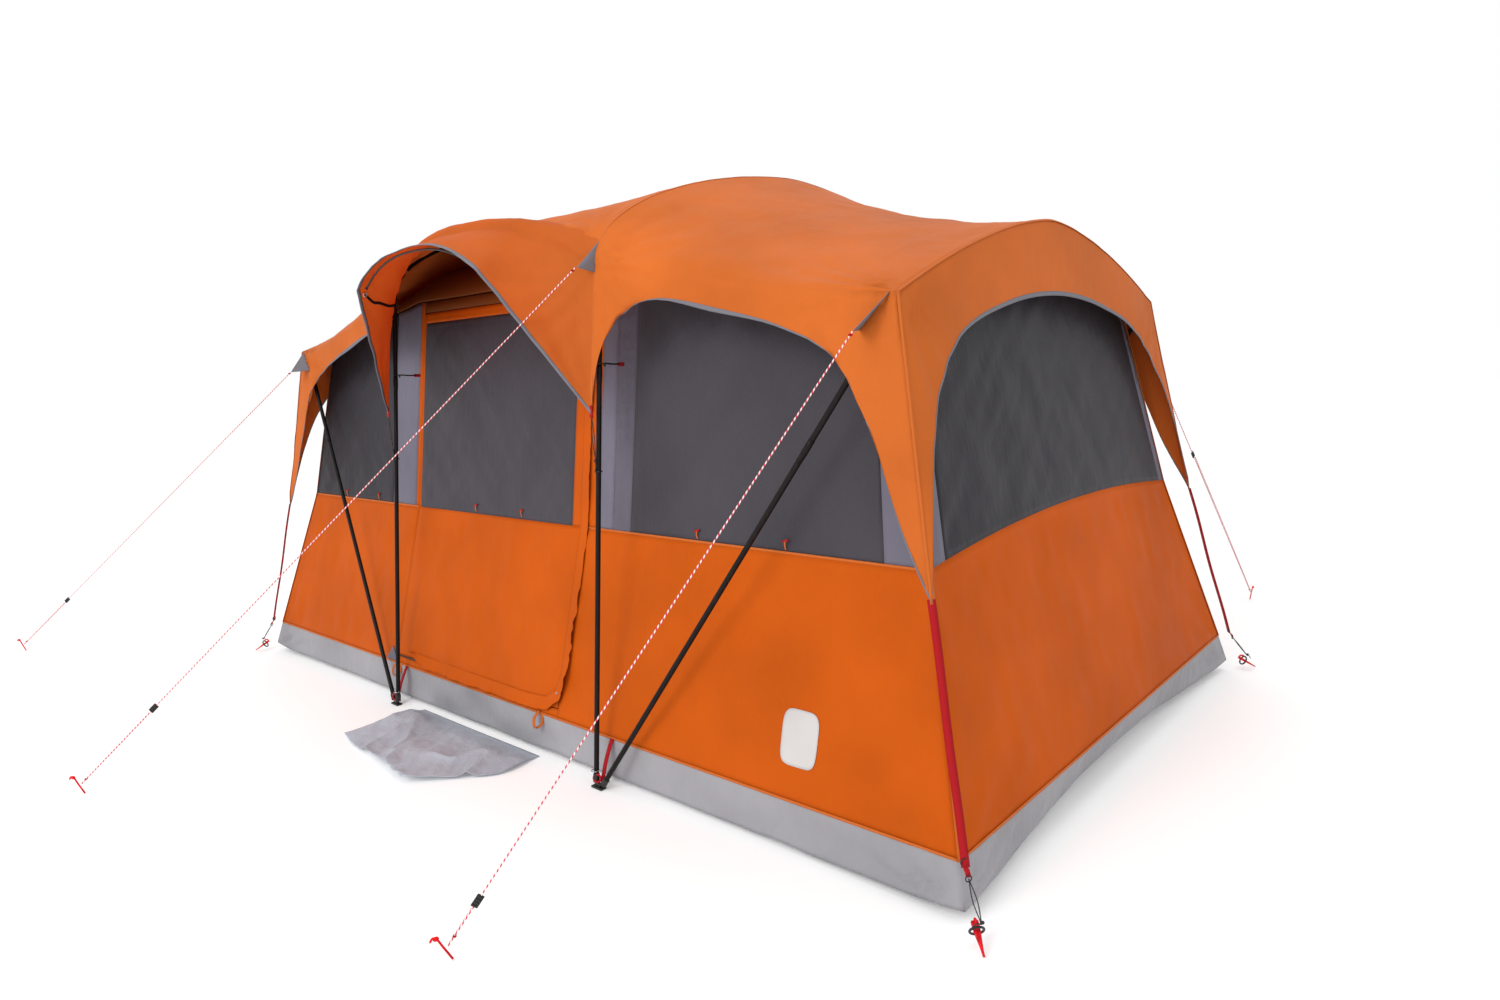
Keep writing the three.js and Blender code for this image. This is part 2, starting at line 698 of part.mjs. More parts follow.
buildHoops();
buildFly();
buildInner();
buildGround();

export default tent;
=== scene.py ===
"""A wide dome tent with scalloped flysheet, awning, inner tent, straps and guy lines.

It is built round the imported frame, in metres and in the frame's own axes: +X along the tent,
the door faces -Y, +Z up, the origin is the middle of the floor.
"""

import math

import bmesh
import bpy
import numpy as np
from mathutils import Matrix, Vector
from mathutils.kdtree import KDTree


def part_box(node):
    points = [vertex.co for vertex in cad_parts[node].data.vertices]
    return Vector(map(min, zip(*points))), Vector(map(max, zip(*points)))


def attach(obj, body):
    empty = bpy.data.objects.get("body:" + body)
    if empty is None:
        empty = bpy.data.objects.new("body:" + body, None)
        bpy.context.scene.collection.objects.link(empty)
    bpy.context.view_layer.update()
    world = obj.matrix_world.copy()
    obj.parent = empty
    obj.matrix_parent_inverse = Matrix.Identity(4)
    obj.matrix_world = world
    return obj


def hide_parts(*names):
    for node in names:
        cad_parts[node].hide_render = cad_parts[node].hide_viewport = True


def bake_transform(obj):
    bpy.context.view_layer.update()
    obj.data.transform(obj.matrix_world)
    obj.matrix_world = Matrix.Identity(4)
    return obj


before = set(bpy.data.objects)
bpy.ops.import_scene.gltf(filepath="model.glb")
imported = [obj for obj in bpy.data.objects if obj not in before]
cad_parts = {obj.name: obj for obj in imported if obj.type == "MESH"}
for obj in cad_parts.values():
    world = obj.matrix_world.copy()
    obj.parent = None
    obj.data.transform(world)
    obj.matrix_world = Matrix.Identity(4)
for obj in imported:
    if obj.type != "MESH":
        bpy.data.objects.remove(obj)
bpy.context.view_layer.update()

# Driving sizes, the same as the frame's
FLOOR_X, FLOOR_Y = 2.2, 1.233
BAND_TOP, SILL, WALL_TOP, END_WALL_TOP = 0.165, 0.896, 1.87, 1.72
LOWER_LEAN_X, LOWER_LEAN_Y = 0.258, 0.274
UPPER_LEAN_X, UPPER_LEAN_Y = 0.2, 0.143
SHOULDER_X, CEILING_RISE = 0.9, 0.262
MID_X, FOOT_Y, POLE_R = 0.728, 1.278, 0.0095
MID_HALF, EAVE_Z, MID_RISE = 1.084, 1.87, 0.394
HUB, END_RISE = np.array([1.893, 1.0, 1.662]), 0.268
POLE_COVER = 0.02
FLY_HUB, FLY_END_RISE = np.array([1.91, 1.022, 1.684]), 0.266
SADDLE, EAVE_SAG, FRONT_FRACTION = 0.07, 0.03, 0.93
MID_TIP = np.array([MID_X, 1.173, 1.356])
CORNER_TIP = np.array([2.058, 1.128, 0.838])
AWNING_HALF, AWNING_REACH, AWNING_SHOULDER, AWNING_RISE = 0.437, 1.4, 1.877, 0.123
HOOP_START = 0.28
DOOR_LEFT, DOOR_RIGHT, DOOR_BOTTOM, DOOR_TOP = -0.85, 0.41, 0.2, 1.82
CORNER_PEG = np.array([2.245, 1.265, 0.0])
SIDES = (("left", -1), ("right", 1))
FACES = (("front", -1), ("back", 1))
CORNERS = [(f"{face_name}_{side_name}", side, face) for side_name, side in SIDES for face_name, face in FACES]


def vec(*values):
    return np.array(values, float)


def mix(a, b, t):
    return a + (b - a) * t


def unit(v):
    v = np.asarray(v, float)
    return v / np.maximum(np.linalg.norm(v, axis=-1, keepdims=True), 1e-12)


def smoothstep(low, high, x):
    t = np.clip((x - low) / (high - low), 0, 1)
    return t * t * (3 - 2 * t)


# ---- camera and light ----

CAMERA_AT = vec(3.3199, -3.2533, 1.5099)
CAMERA_AZIMUTH, CAMERA_DOWN, CAMERA_ROLL = 41.8068, 8.4803, -2.8967
LENS_MM = 22.19


def add_camera():
    a, e, r = np.radians([CAMERA_AZIMUTH, CAMERA_DOWN, CAMERA_ROLL])
    ahead = vec(-math.sin(a) * math.cos(e), math.cos(a) * math.cos(e), -math.sin(e))
    right = unit(np.cross(ahead, vec(0, 0, 1)))
    up = np.cross(right, ahead)
    right, up = math.cos(r) * right + math.sin(r) * up, -math.sin(r) * right + math.cos(r) * up
    data = bpy.data.cameras.new("camera")
    data.sensor_width = 36
    data.lens = LENS_MM
    camera = bpy.data.objects.new("camera", data)
    turn = Matrix(np.array([right, up, -ahead]).T.tolist()).to_4x4()
    camera.matrix_world = Matrix.Translation(Vector(CAMERA_AT)) @ turn
    bpy.context.scene.collection.objects.link(camera)
    bpy.context.scene.camera = camera


def add_area(name, place, target, size, power):
    data = bpy.data.lights.new(name, "AREA")
    data.shape = "DISK"
    data.size = size
    data.energy = power
    light = bpy.data.objects.new(name, data)
    turn = (Vector(target) - Vector(place)).to_track_quat("-Z", "Y").to_matrix().to_4x4()
    light.matrix_world = Matrix.Translation(Vector(place)) @ turn
    bpy.context.scene.collection.objects.link(light)


def add_studio():
    scene = bpy.context.scene
    scene.view_settings.view_transform = "Standard"
    world = bpy.data.worlds.new("studio")
    world.use_nodes = True
    background = world.node_tree.nodes["Background"]
    background.inputs["Color"].default_value = (1.0, 1.0, 1.0, 1)
    background.inputs["Strength"].default_value = 1.0
    scene.world = world
    add_area("key_light", (1.0, -7.0, 5.0), (0.6, -0.6, 1.0), 4.0, 230)
    add_area("top_light", (0.5, 1.5, 7.0), (0, 0, 1.2), 5.0, 45)
    bpy.ops.mesh.primitive_plane_add(size=60, location=(0, 0, -0.001))
    floor = bpy.context.object
    floor.name = "studio_floor"
    floor.data.materials.append(plain_floor_material())


# ---- materials ----

def srgb(r, g, b):
    def linear(c):
        c /= 255
        return c / 12.92 if c < 0.04045 else ((c + 0.055) / 1.055) ** 2.4
    return (linear(r), linear(g), linear(b), 1.0)


class Shader:
    """A node material with its Principled node, and short calls for the nodes that feed it."""

    def __init__(self, name):
        self.material = bpy.data.materials.new(name)
        self.material.use_nodes = True
        self.nodes = self.material.node_tree.nodes
        self.links = self.material.node_tree.links
        self.skin = self.nodes["Principled BSDF"]
        self.place = self.nodes.new("ShaderNodeTexCoord").outputs["Object"]

    def set(self, **values):
        for key, value in values.items():
            self.skin.inputs[key.replace("_", " ")].default_value = value
        return self

    def scaled(self, scale, turn=(0, 0, 0)):
        mapping = self.nodes.new("ShaderNodeMapping")
        mapping.inputs["Scale"].default_value = scale
        mapping.inputs["Rotation"].default_value = turn
        self.links.new(self.place, mapping.inputs["Vector"])
        return mapping.outputs["Vector"]

    def noise(self, scale, detail=3.0, vector=None, rough=0.5):
        node = self.nodes.new("ShaderNodeTexNoise")
        node.inputs["Scale"].default_value = scale
        node.inputs["Detail"].default_value = detail
        node.inputs["Roughness"].default_value = rough
        self.links.new(vector or self.place, node.inputs["Vector"])
        return node.outputs["Fac"]

    def wave(self, scale, direction):
        node = self.nodes.new("ShaderNodeTexWave")
        node.bands_direction = direction
        node.inputs["Scale"].default_value = scale
        node.inputs["Distortion"].default_value = 0.4
        self.links.new(self.place, node.inputs["Vector"])
        return node.outputs["Fac"]

    def ramp(self, fac, stops):
        node = self.nodes.new("ShaderNodeValToRGB")
        while len(node.color_ramp.elements) < len(stops):
            node.color_ramp.elements.new(0.5)
        for element, (place, colour) in zip(node.color_ramp.elements, stops):
            element.position = place
            element.color = colour
        self.links.new(fac, node.inputs["Fac"])
        return node.outputs["Color"]

    def colour(self, socket):
        self.links.new(socket, self.skin.inputs["Base Color"])
        return self

    def roughness(self, fac, low, high):
        node = self.nodes.new("ShaderNodeMapRange")
        node.inputs["To Min"].default_value = low
        node.inputs["To Max"].default_value = high
        self.links.new(fac, node.inputs["Value"])
        self.links.new(node.outputs["Result"], self.skin.inputs["Roughness"])
        return self

    def bump(self, height, distance, strength=1.0):
        """Adds a bump under the ones already there."""
        node = self.nodes.new("ShaderNodeBump")
        node.inputs["Distance"].default_value = distance
        node.inputs["Strength"].default_value = strength
        self.links.new(height, node.inputs["Height"])
        before = self.skin.inputs["Normal"]
        if before.is_linked:
            self.links.new(before.links[0].from_socket, node.inputs["Normal"])
        self.links.new(node.outputs["Normal"], before)
        return self

    def lit_through(self, share, colour):
        """Lets some light from behind show through, as thin cloth does."""
        glow = self.nodes.new("ShaderNodeBsdfTranslucent")
        glow.inputs["Color"].default_value = colour
        both = self.nodes.new("ShaderNodeMixShader")
        both.inputs["Fac"].default_value = share
        self.links.new(self.skin.outputs["BSDF"], both.inputs[1])
        self.links.new(glow.outputs["BSDF"], both.inputs[2])
        self.links.new(both.outputs["Shader"], self.nodes["Material Output"].inputs["Surface"])
        return self


def shade(colour, factor):
    return tuple(c * factor for c in colour[:3]) + (1.0,)


WEAVE = 240.0  # threads about 1.3 mm apart
MESH_CELLS = 420.0  # holes about 2.4 mm apart
COLOUR_SPREAD = 0.12


def taffeta(name, colour, rough, crinkle, sheen, glow=None):
    """Coated woven polyester: fine weave, soft crinkles, slight unevenness of colour."""
    s = Shader(name)
    s.set(Sheen_Weight=sheen, Sheen_Roughness=0.4, Specular_IOR_Level=0.05)
    patches = s.noise(2.2, 4.0)
    dark, light = shade(colour, 1 - COLOUR_SPREAD), shade(colour, 1 + COLOUR_SPREAD)
    s.colour(s.ramp(patches, [(0.3, dark), (0.7, light)]))
    s.roughness(s.noise(9.0, 3.0), rough - 0.07, rough + 0.1)
    s.bump(s.wave(WEAVE, "X"), 0.00003)
    s.bump(s.wave(WEAVE, "Z"), 0.00003)
    s.bump(s.noise(7.0, 5.0, s.scaled((1.0, 1.0, 0.35)), 0.55), crinkle * 9, 0.5)
    s.bump(s.noise(26.0, 4.0, s.scaled((1.0, 1.0, 0.5), (0.3, 0.5, 0.2)), 0.6), crinkle * 2, 0.6)
    if glow:
        s.lit_through(glow, shade(colour, 1.15))
    return s.material


def net(name, colour):
    """Fine dark window netting over a dark cover."""
    s = Shader(name)
    s.set(Sheen_Weight=0.03, Sheen_Roughness=0.5, Specular_IOR_Level=0.16)
    cells = s.nodes.new("ShaderNodeTexVoronoi")
    cells.feature = "DISTANCE_TO_EDGE"
    cells.inputs["Scale"].default_value = MESH_CELLS
    s.links.new(s.place, cells.inputs["Vector"])
    fine = s.ramp(cells.outputs["Distance"], [(0.0, shade(colour, 1.2)), (0.3, shade(colour, 0.85))])
    tint = s.nodes.new("ShaderNodeMix")
    tint.data_type = "RGBA"
    tint.blend_type = "MULTIPLY"
    tint.inputs[0].default_value = 1.0
    s.links.new(fine, tint.inputs[6])
    patches = s.ramp(s.noise(1.6, 4.0), [(0.3, (0.8, 0.8, 0.8, 1)), (0.7, (1.15, 1.15, 1.15, 1))])
    s.links.new(patches, tint.inputs[7])
    s.colour(tint.outputs[2])
    s.roughness(s.noise(5.0), 0.42, 0.6)
    s.bump(cells.outputs["Distance"], 0.0001)
    s.bump(s.noise(6.0, 5.0, s.scaled((1.0, 1.0, 0.4), (0, 0.6, 0)), 0.6), 0.014, 0.6)
    s.bump(s.noise(22.0, 4.0, s.scaled((1.0, 1.0, 0.4), (0, -0.7, 0)), 0.6), 0.003, 0.6)
    return s.material


def webbing(name, colour, pitch=190.0):
    s = Shader(name)
    s.set(Sheen_Weight=0.03, Specular_IOR_Level=0.15)
    ribs = s.wave(pitch, "Z")
    s.colour(s.ramp(ribs, [(0.2, shade(colour, 0.7)), (0.8, shade(colour, 1.1))]))
    s.roughness(s.noise(30.0), 0.55, 0.75)
    s.bump(ribs, 0.0003)
    s.bump(s.wave(pitch * 0.6, "X"), 0.0002)
    return s.material


def painted_tube(name, colour, rough, metal):
    s = Shader(name)
    s.set(Metallic=metal, Specular_IOR_Level=0.15)
    wear = s.noise(14.0, 5.0, s.scaled((6.0, 6.0, 1.0)))
    s.colour(s.ramp(wear, [(0.35, colour), (0.78, shade(colour, 2.4))]))
    s.roughness(s.noise(30.0, 4.0), rough - 0.08, rough + 0.14)
    s.bump(s.noise(220.0, 2.0), 0.00008)
    return s.material


def moulded(name, colour, rough):
    s = Shader(name)
    s.set(Specular_IOR_Level=0.5)
    s.colour(s.ramp(s.noise(40.0), [(0.3, shade(colour, 0.8)), (0.7, shade(colour, 1.25))]))
    s.roughness(s.noise(60.0), rough - 0.1, rough + 0.1)
    s.bump(s.noise(500.0, 2.0), 0.00006)
    return s.material


def striped_cord(name, base, fleck, low=0.42, high=0.58):
    """Braided cord whose flecks follow the value that braid() writes on its tube."""
    s = Shader(name)
    along = s.nodes.new("ShaderNodeAttribute")
    along.attribute_name = "braid"
    s.colour(s.ramp(along.outputs["Fac"], [(low, base), (high, fleck)]))
    s.roughness(s.noise(90.0), 0.6, 0.8)
    s.bump(s.noise(700.0, 2.0), 0.0002)
    return s.material


def plain_floor_material():
    s = Shader("studio_floor")
    s.set(Roughness=0.85, Specular_IOR_Level=0.15, Emission_Color=(1, 1, 1, 1), Emission_Strength=0.1)
    s.colour(s.ramp(s.noise(0.6), [(0.3, (0.93, 0.93, 0.93, 1)), (0.7, (0.95, 0.95, 0.95, 1))]))
    return s.material


MATERIALS = {
    "fly": taffeta("fly_cloth", srgb(202, 104, 42), 0.5, 0.0016, 0.02, glow=0.14),
    "awning": taffeta("awning_cloth", srgb(220, 122, 54), 0.5, 0.0018, 0.02, glow=0.5),
    # Painted shade: the orange of the inner roof and the door's header is darkened to brown because they sit
    # in the fly's shade.
    "painted_shade_orange": taffeta("orange_cloth_painted_shade", srgb(112, 60, 26), 0.55, 0.0009, 0.0),
    "lining": taffeta("shiny_lining", srgb(92, 89, 100), 0.26, 0.004, 0.05),
    "wall": taffeta("wall_cloth", srgb(192, 84, 14), 0.5, 0.001, 0.0, glow=0.08),
    "silver": taffeta("silver_cloth", srgb(106, 103, 116), 0.34, 0.0016, 0.05),
    "window": net("window_net", srgb(60, 57, 63)),
    # Painted shade: the same window net made darker, for the nets on the ends and left of the door, which get
    # less light.
    "window_painted_shade": net("window_net_painted_shade", srgb(44, 42, 47)),
    "cover": taffeta("cover_cloth", srgb(70, 67, 74), 0.6, 0.0012, 0.02),
    "floor": taffeta("floor_cloth", srgb(150, 149, 153), 0.42, 0.004, 0.02),
    "mat": taffeta("mat_cloth", srgb(172, 177, 188), 0.42, 0.003, 0.02),
    "binding": webbing("grey_binding", srgb(120, 119, 127), 150.0),
    "seam": webbing("orange_seam", srgb(204, 104, 40), 170.0),
    "red": webbing("red_webbing", srgb(176, 16, 26)),
    "tube": painted_tube("black_tube", srgb(15, 11, 11), 0.4, 0.0),
    "rod": moulded("black_rod", srgb(20, 18, 18), 0.4),
    "plastic": moulded("black_plastic", srgb(18, 17, 17), 0.42),
    "peg": painted_tube("red_peg", srgb(176, 18, 24), 0.35, 0.1),
    "steel": painted_tube("bright_steel", srgb(150, 150, 154), 0.25, 0.9),
    "guy": striped_cord("guy_cord", srgb(232, 218, 216), srgb(196, 40, 66)),
    "shock": striped_cord("shock_cord", srgb(14, 14, 16), srgb(190, 190, 190), 0.86, 0.95),
    "patch": taffeta("blank_patch", srgb(196, 192, 190), 0.6, 0.0006, 0.02),
}


# ---- small shapes: each returns its points and faces ----


def transported(path):
    """Directions across a path that don't twist along it."""
    path = np.asarray(path, float)
    ahead = unit(np.gradient(path, axis=0))
    first = vec(0, 0, 1) if abs(ahead[0][2]) < 0.9 else vec(1, 0, 0)
    across = [unit(np.cross(ahead[0], first))]
    for k in range(1, len(path)):
        across.append(unit(across[-1] - ahead[k] * (across[-1] @ ahead[k])))
    across = np.array(across)
    return ahead, across, np.cross(ahead, across)


def loft(rings, caps_ahead, sides_back):
    """A closed skin over rings of points; the two flags say which way its caps and its sides turn."""
    count, sides = rings.shape[:2]
    first, last = tuple(range(sides)), tuple(range((count - 1) * sides, count * sides))
    faces = [first, last[::-1]] if caps_ahead else [first[::-1], last]
    for i in range(count - 1):
        for k in range(sides):
            j = (k + 1) % sides
            a, b = (j, k) if sides_back else (k, j)
            faces.append((i * sides + a, i * sides + b, (i + 1) * sides + b, (i + 1) * sides + a))
    return rings.reshape(-1, 3), faces


def tube(path, radius, sides=14):
    path = np.asarray(path, float)
    _, a, b = transported(path)
    radius = np.broadcast_to(radius, len(path))
    angle = np.linspace(0, 2 * np.pi, sides, endpoint=False)
    ring = np.cos(angle)[None, :, None] * a[:, None] + np.sin(angle)[None, :, None] * b[:, None]
    return loft(path[:, None] + radius[:, None, None] * ring, False, False)


def ribbon(path, across, width, thickness):
    """A flat strap along a path; across is its width's direction, one for all or one for each point."""
    path = np.asarray(path, float)
    ahead = unit(np.gradient(path, axis=0))
    across = np.broadcast_to(np.asarray(across, float), path.shape)
    across = unit(across - ahead * (across * ahead).sum(1, keepdims=True))
    out = np.cross(ahead, across)
    width = np.broadcast_to(width, len(path))[:, None]
    corners = [(-1, -1), (-0.94, 1), (0, 1.25), (0.94, 1), (1, -1), (0, -1)]
    lines = [path + across * width / 2 * a + out * thickness / 2 * b for a, b in corners]
    return loft(np.stack(lines, 1), True, True)


def ring(centre, normal, radius, thick, squash=1.0):
    """A closed ring, or an oval one."""
    sides, steps = 10, 28
    n = unit(normal)
    a = unit(np.cross(n, vec(0, 0, 1) if abs(n[2]) < 0.9 else vec(1, 0, 0)))
    b = np.cross(n, a)
    points, faces = [], []
    for i in range(steps):
        t = 2 * math.pi * i / steps
        out = unit(a * math.cos(t) + b * math.sin(t) * squash)
        middle = centre + radius * (a * math.cos(t) + b * math.sin(t) * squash)
        for k in range(sides):
            w = 2 * math.pi * k / sides
            points.append(middle + thick * (out * math.cos(w) + n * math.sin(w)))
    for i in range(steps):
        for k in range(sides):
            j, m = (k + 1) % sides, (i + 1) % steps
            faces.append((i * sides + k, i * sides + j, m * sides + j, m * sides + k))
    return np.array(points), faces


def knot(centre, size):
    """A small overhand knot, as a closed trefoil tube."""
    t = np.linspace(0, 2 * np.pi, 49)
    path = np.stack([np.sin(t) + 2 * np.sin(2 * t), np.cos(t) - 2 * np.cos(2 * t), -np.sin(3 * t)], 1)
    return tube(np.asarray(centre) + path * size / 5, size * 0.3, 8)


def block(centre, size, axes=None):
    """A box, turned to the three given axes."""
    axes = np.eye(3) if axes is None else np.asarray(axes)
    signs = np.array([(x, y, z) for x in (-1, 1) for y in (-1, 1) for z in (-1, 1)])
    points = np.asarray(centre) + (signs * np.asarray(size) / 2) @ axes
    return points, [(0, 1, 3, 2), (4, 6, 7, 5), (0, 4, 5, 1), (2, 3, 7, 6), (0, 2, 6, 4), (1, 5, 7, 3)]


def catmull(points, count):
    """Points along a centripetal Catmull-Rom curve, evenly spaced in its parameter."""
    return catmull_at(points, np.linspace(0, 1, count))


def catmull_at(points, t):
    p = np.asarray(points, float)
    ends = np.vstack([2 * p[0] - p[1], p, 2 * p[-1] - p[-2]])
    place = np.clip(t, 0, 1) * (len(p) - 1)
    i = np.minimum(place.astype(int), len(p) - 2)
    w = (place - i)[:, None]
    x0, x1, x2, x3 = ends[i], ends[i + 1], ends[i + 2], ends[i + 3]
    gaps = [np.sqrt(np.linalg.norm(b - a, axis=1))[:, None] for a, b in ((x0, x1), (x1, x2), (x2, x3))]
    g0, g1, g2 = gaps
    out = ((x1 - x0) / g0 - (x2 - x0) / (g0 + g1) + (x2 - x1) / g1) * g1
    end = ((x2 - x1) / g1 - (x3 - x1) / (g1 + g2) + (x3 - x2) / g2) * g1
    return x1 + out * w + (3 * (x2 - x1) - 2 * out - end) * w**2 + (2 * (x1 - x2) + out + end) * w**3


def object_of(name, shapes, material, smooth=True, bevel=0.0):
    """One mesh object from one or more shapes."""
    shapes = [shapes] if isinstance(shapes, tuple) else shapes
    points, faces, start = [], [], 0
    for p, f in shapes:
        points.extend(np.asarray(p).tolist())
        faces.extend(tuple(i + start for i in face) for face in f)
        start += len(p)
    mesh = bpy.data.meshes.new(name)
    mesh.from_pydata(points, [], faces)
    mesh.materials.append(MATERIALS[material])
    mesh.polygons.foreach_set("use_smooth", [smooth] * len(mesh.polygons))
    made = bpy.data.objects.new(name, mesh)
    bpy.context.scene.collection.objects.link(made)
    if bevel:
        rounded = made.modifiers.new("edges", "BEVEL")
        rounded.width = bevel
        rounded.segments = 3
        rounded.limit_method = "ANGLE"
    return made


def piece(made, body="tent", stands_for=()):
    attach(made, body)
    if stands_for:
        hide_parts(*stands_for)
    return made


def solid(name, shapes, material, slot, stands_for=()):
    return piece(object_of(name, shapes, material), stands_for=stands_for)


# ---- guy lines: the cords come before the rest of the tent ----

# Where each line is tied to the fly, where its peg stands, and how far along it the runner sits
GUYS = {
    "corner_right": (vec(1.828, -1.128, 1.579), vec(1.211, -2.153, 0), 0.93),
    "middle_right": (vec(0.712, -1.182, 1.861), vec(-0.86, -2.484, 0), 0.84),
    "corner_left": (vec(-1.828, -1.128, 1.579), vec(-3.6, -2.15, 0), 0.82),
    "back_right": (vec(1.828, 1.128, 1.579), vec(1.99, 2.54, 0), 0.42),
}
GUY_R = 0.0022
GUY_END_Z = 0.042
GUY_PITCH, SHOCK_PITCH = 0.016, 0.009
SHOCK_R = 0.0016
RUNNER_LENGTH = 0.036


def peg_path(foot, away):
    flat = unit(vec(away[0], away[1], 0))
    steps = ((0, 0.0035), (0.022, 0.044), (0.034, 0.066), (0.044, 0.072), (0.052, 0.062))
    return catmull([foot + flat * out + vec(0, 0, z) for out, z in steps], 24)


def peg_shapes(foot, away):
    """A bent rod peg with a flattened head under its hook."""
    path = peg_path(foot, away)
    flat = unit(vec(away[0], away[1], 0))
    side = np.cross(vec(0, 0, 1), flat)
    return [tube(path, 0.0031, 12), ring(path[13], side, 0.0062, 0.0022, 0.8)]


def braid(made, path, pitch, sides):
    """Writes how far along and round the cord each point is, for the flecks of its cover."""
    steps = np.concatenate([[0], np.cumsum(np.linalg.norm(np.diff(path, axis=0), axis=1))])
    along = np.repeat(steps, sides)
    round_it = np.tile(np.arange(sides) / sides, len(path))
    value = 0.5 + 0.5 * np.sin(2 * np.pi * (along / pitch + round_it))
    data = made.data.attributes.new("braid", "FLOAT", "POINT").data
    data.foreach_set("value", value.astype(np.float32))


def cord_object(name, path, radius, material, pitch, sides=10):
    """A braided cord: its tube has a ring every quarter pitch, so that the flecks stay sharp."""
    path = resampled(path, pitch / 4)
    made = object_of(name, tube(path, radius, sides), material)
    braid(made, path, pitch, sides)
    return made, path


def resampled(path, step):
    path = np.asarray(path, float)
    along = np.concatenate([[0], np.cumsum(np.linalg.norm(np.diff(path, axis=0), axis=1))])
    at = np.linspace(0, along[-1], max(2, int(along[-1] / step) + 1))
    return np.stack([np.interp(at, along, path[:, k]) for k in range(3)], 1)


def runner_shapes(middle, ahead):
    """A three-hole line runner: a ribbed flat bar with rounded ends, threaded on the line."""
    side = unit(np.cross(ahead, vec(0, 0, 1)))
    up = np.cross(side, ahead)
    axes = (ahead, side, up)
    bar = block(middle, (RUNNER_LENGTH, 0.0045, 0.02), axes)
    ribs = [block(middle + ahead * k, (0.003, 0.009, 0.017), axes) for k in (-0.013, -0.0045, 0.0045, 0.013)]
    return [bar, *ribs]


def add_guys():
    for name, (start, foot, share) in GUYS.items():
        away = unit(vec(*(foot - start)[:2], 0))
        end = foot + away * 0.009 + vec(0, 0, GUY_END_Z)
        whole = mix(start, end, np.linspace(0, 1, 20)[:, None])
        line, path = cord_object(f"guy_{name}", whole, GUY_R, "guy", GUY_PITCH)
        piece(line, stands_for=[f"guyline_{name}"])
        ahead = unit(end - start)
        at_runner = mix(start, end, share)
        runner = object_of(f"runner_{name}", runner_shapes(at_runner, ahead), "plastic", False, 0.001)
        piece(runner, f"guyline_runner_{name}", [f"guyline_runner_{name}"])
        peg = solid(f"guy_peg_{name}", peg_shapes(foot, away), "peg", "peg_red", [f"guyline_peg_{name}"])
        across = unit(np.cross(ahead, vec(0, 0, 1))) * 0.006
        doubled = [at_runner + ahead * 0.02 + across, mix(at_runner, end, 0.5) + across, end + across * 0.6]
        back, _ = cord_object(f"guy_back_{name}", doubled, GUY_R * 0.95, "guy", GUY_PITCH)
        piece(back)
        knots = [knot(start + ahead * 0.012, 0.008), knot(end - ahead * 0.03, 0.007)]
        tie = solid(f"guy_tie_{name}", knots, "red", "red_webbing")


# ---- cloth: patches of points, joined along the edges they share, wrinkled and given a thickness ----


def coons(u, v, top, bottom, left, right):
    """A patch between a top and a bottom row of points and the two columns that join them."""
    uu, vv = u[:, None, None], v[None, :, None]
    ruled = (1 - vv) * top[:, None] + vv * bottom[:, None]
    across = (1 - uu) * left[None] + uu * right[None]
    flat_top = (1 - uu) * top[0] + uu * top[-1]
    flat_bottom = (1 - uu) * bottom[0] + uu * bottom[-1]
    return ruled + across - (1 - vv) * flat_top - vv * flat_bottom


def straight(a, b, v):
    return mix(np.asarray(a), np.asarray(b), v[:, None])


def lattice(points, seed):
    """Smooth noise from -1 to 1 at each point, the same every run."""
    cell = np.floor(points).astype(np.int64)
    f = points - cell
    f = f * f * (3 - 2 * f)
    total = np.zeros(len(points))
    for dx in (0, 1):
        for dy in (0, 1):
            for dz in (0, 1):
                x, y, z = cell[:, 0] + dx, cell[:, 1] + dy, cell[:, 2] + dz
                key = x * 73856093 ^ y * 19349663 ^ z * 83492791
                key = (key ^ (seed * 2654435761)) & 0x7FFFFFFF
                key = (key * 1103515245 + 12345) & 0x7FFFFFFF
                key = ((key >> 7) ^ key) * 69069 & 0x7FFFFFFF
                value = (key >> 8) % 65536 / 32768 - 1
                weight = np.abs(1 - dx - f[:, 0]) * np.abs(1 - dy - f[:, 1]) * np.abs(1 - dz - f[:, 2])
                total += value * weight
    return total


def billow(points, scale, seed):
    """Two octaves of noise; scale gives the size of a fold along each axis."""
    q = points / np.asarray(scale)
    return lattice(q + 31.7, seed) + 0.45 * lattice(q * 2.1 + 11.3, seed + 1)


def fan(points, anchor, outward, folds, reach, seed):
    """Folds that spread from an anchor where the cloth is pulled."""
    n = unit(outward)
    a = unit(np.cross(n, vec(0.3, 0.2, 1.0)))
    b = np.cross(n, a)
    r = points - anchor
    far = np.linalg.norm(r, axis=1)
    angle = np.arctan2(r @ b, r @ a)
    wobble = 0.8 * lattice(points / 0.3 + 5.0, seed)
    return np.sin(folds * angle + wobble * 2 + seed) * np.exp(-far / reach) * smoothstep(0.0, 0.08, far)


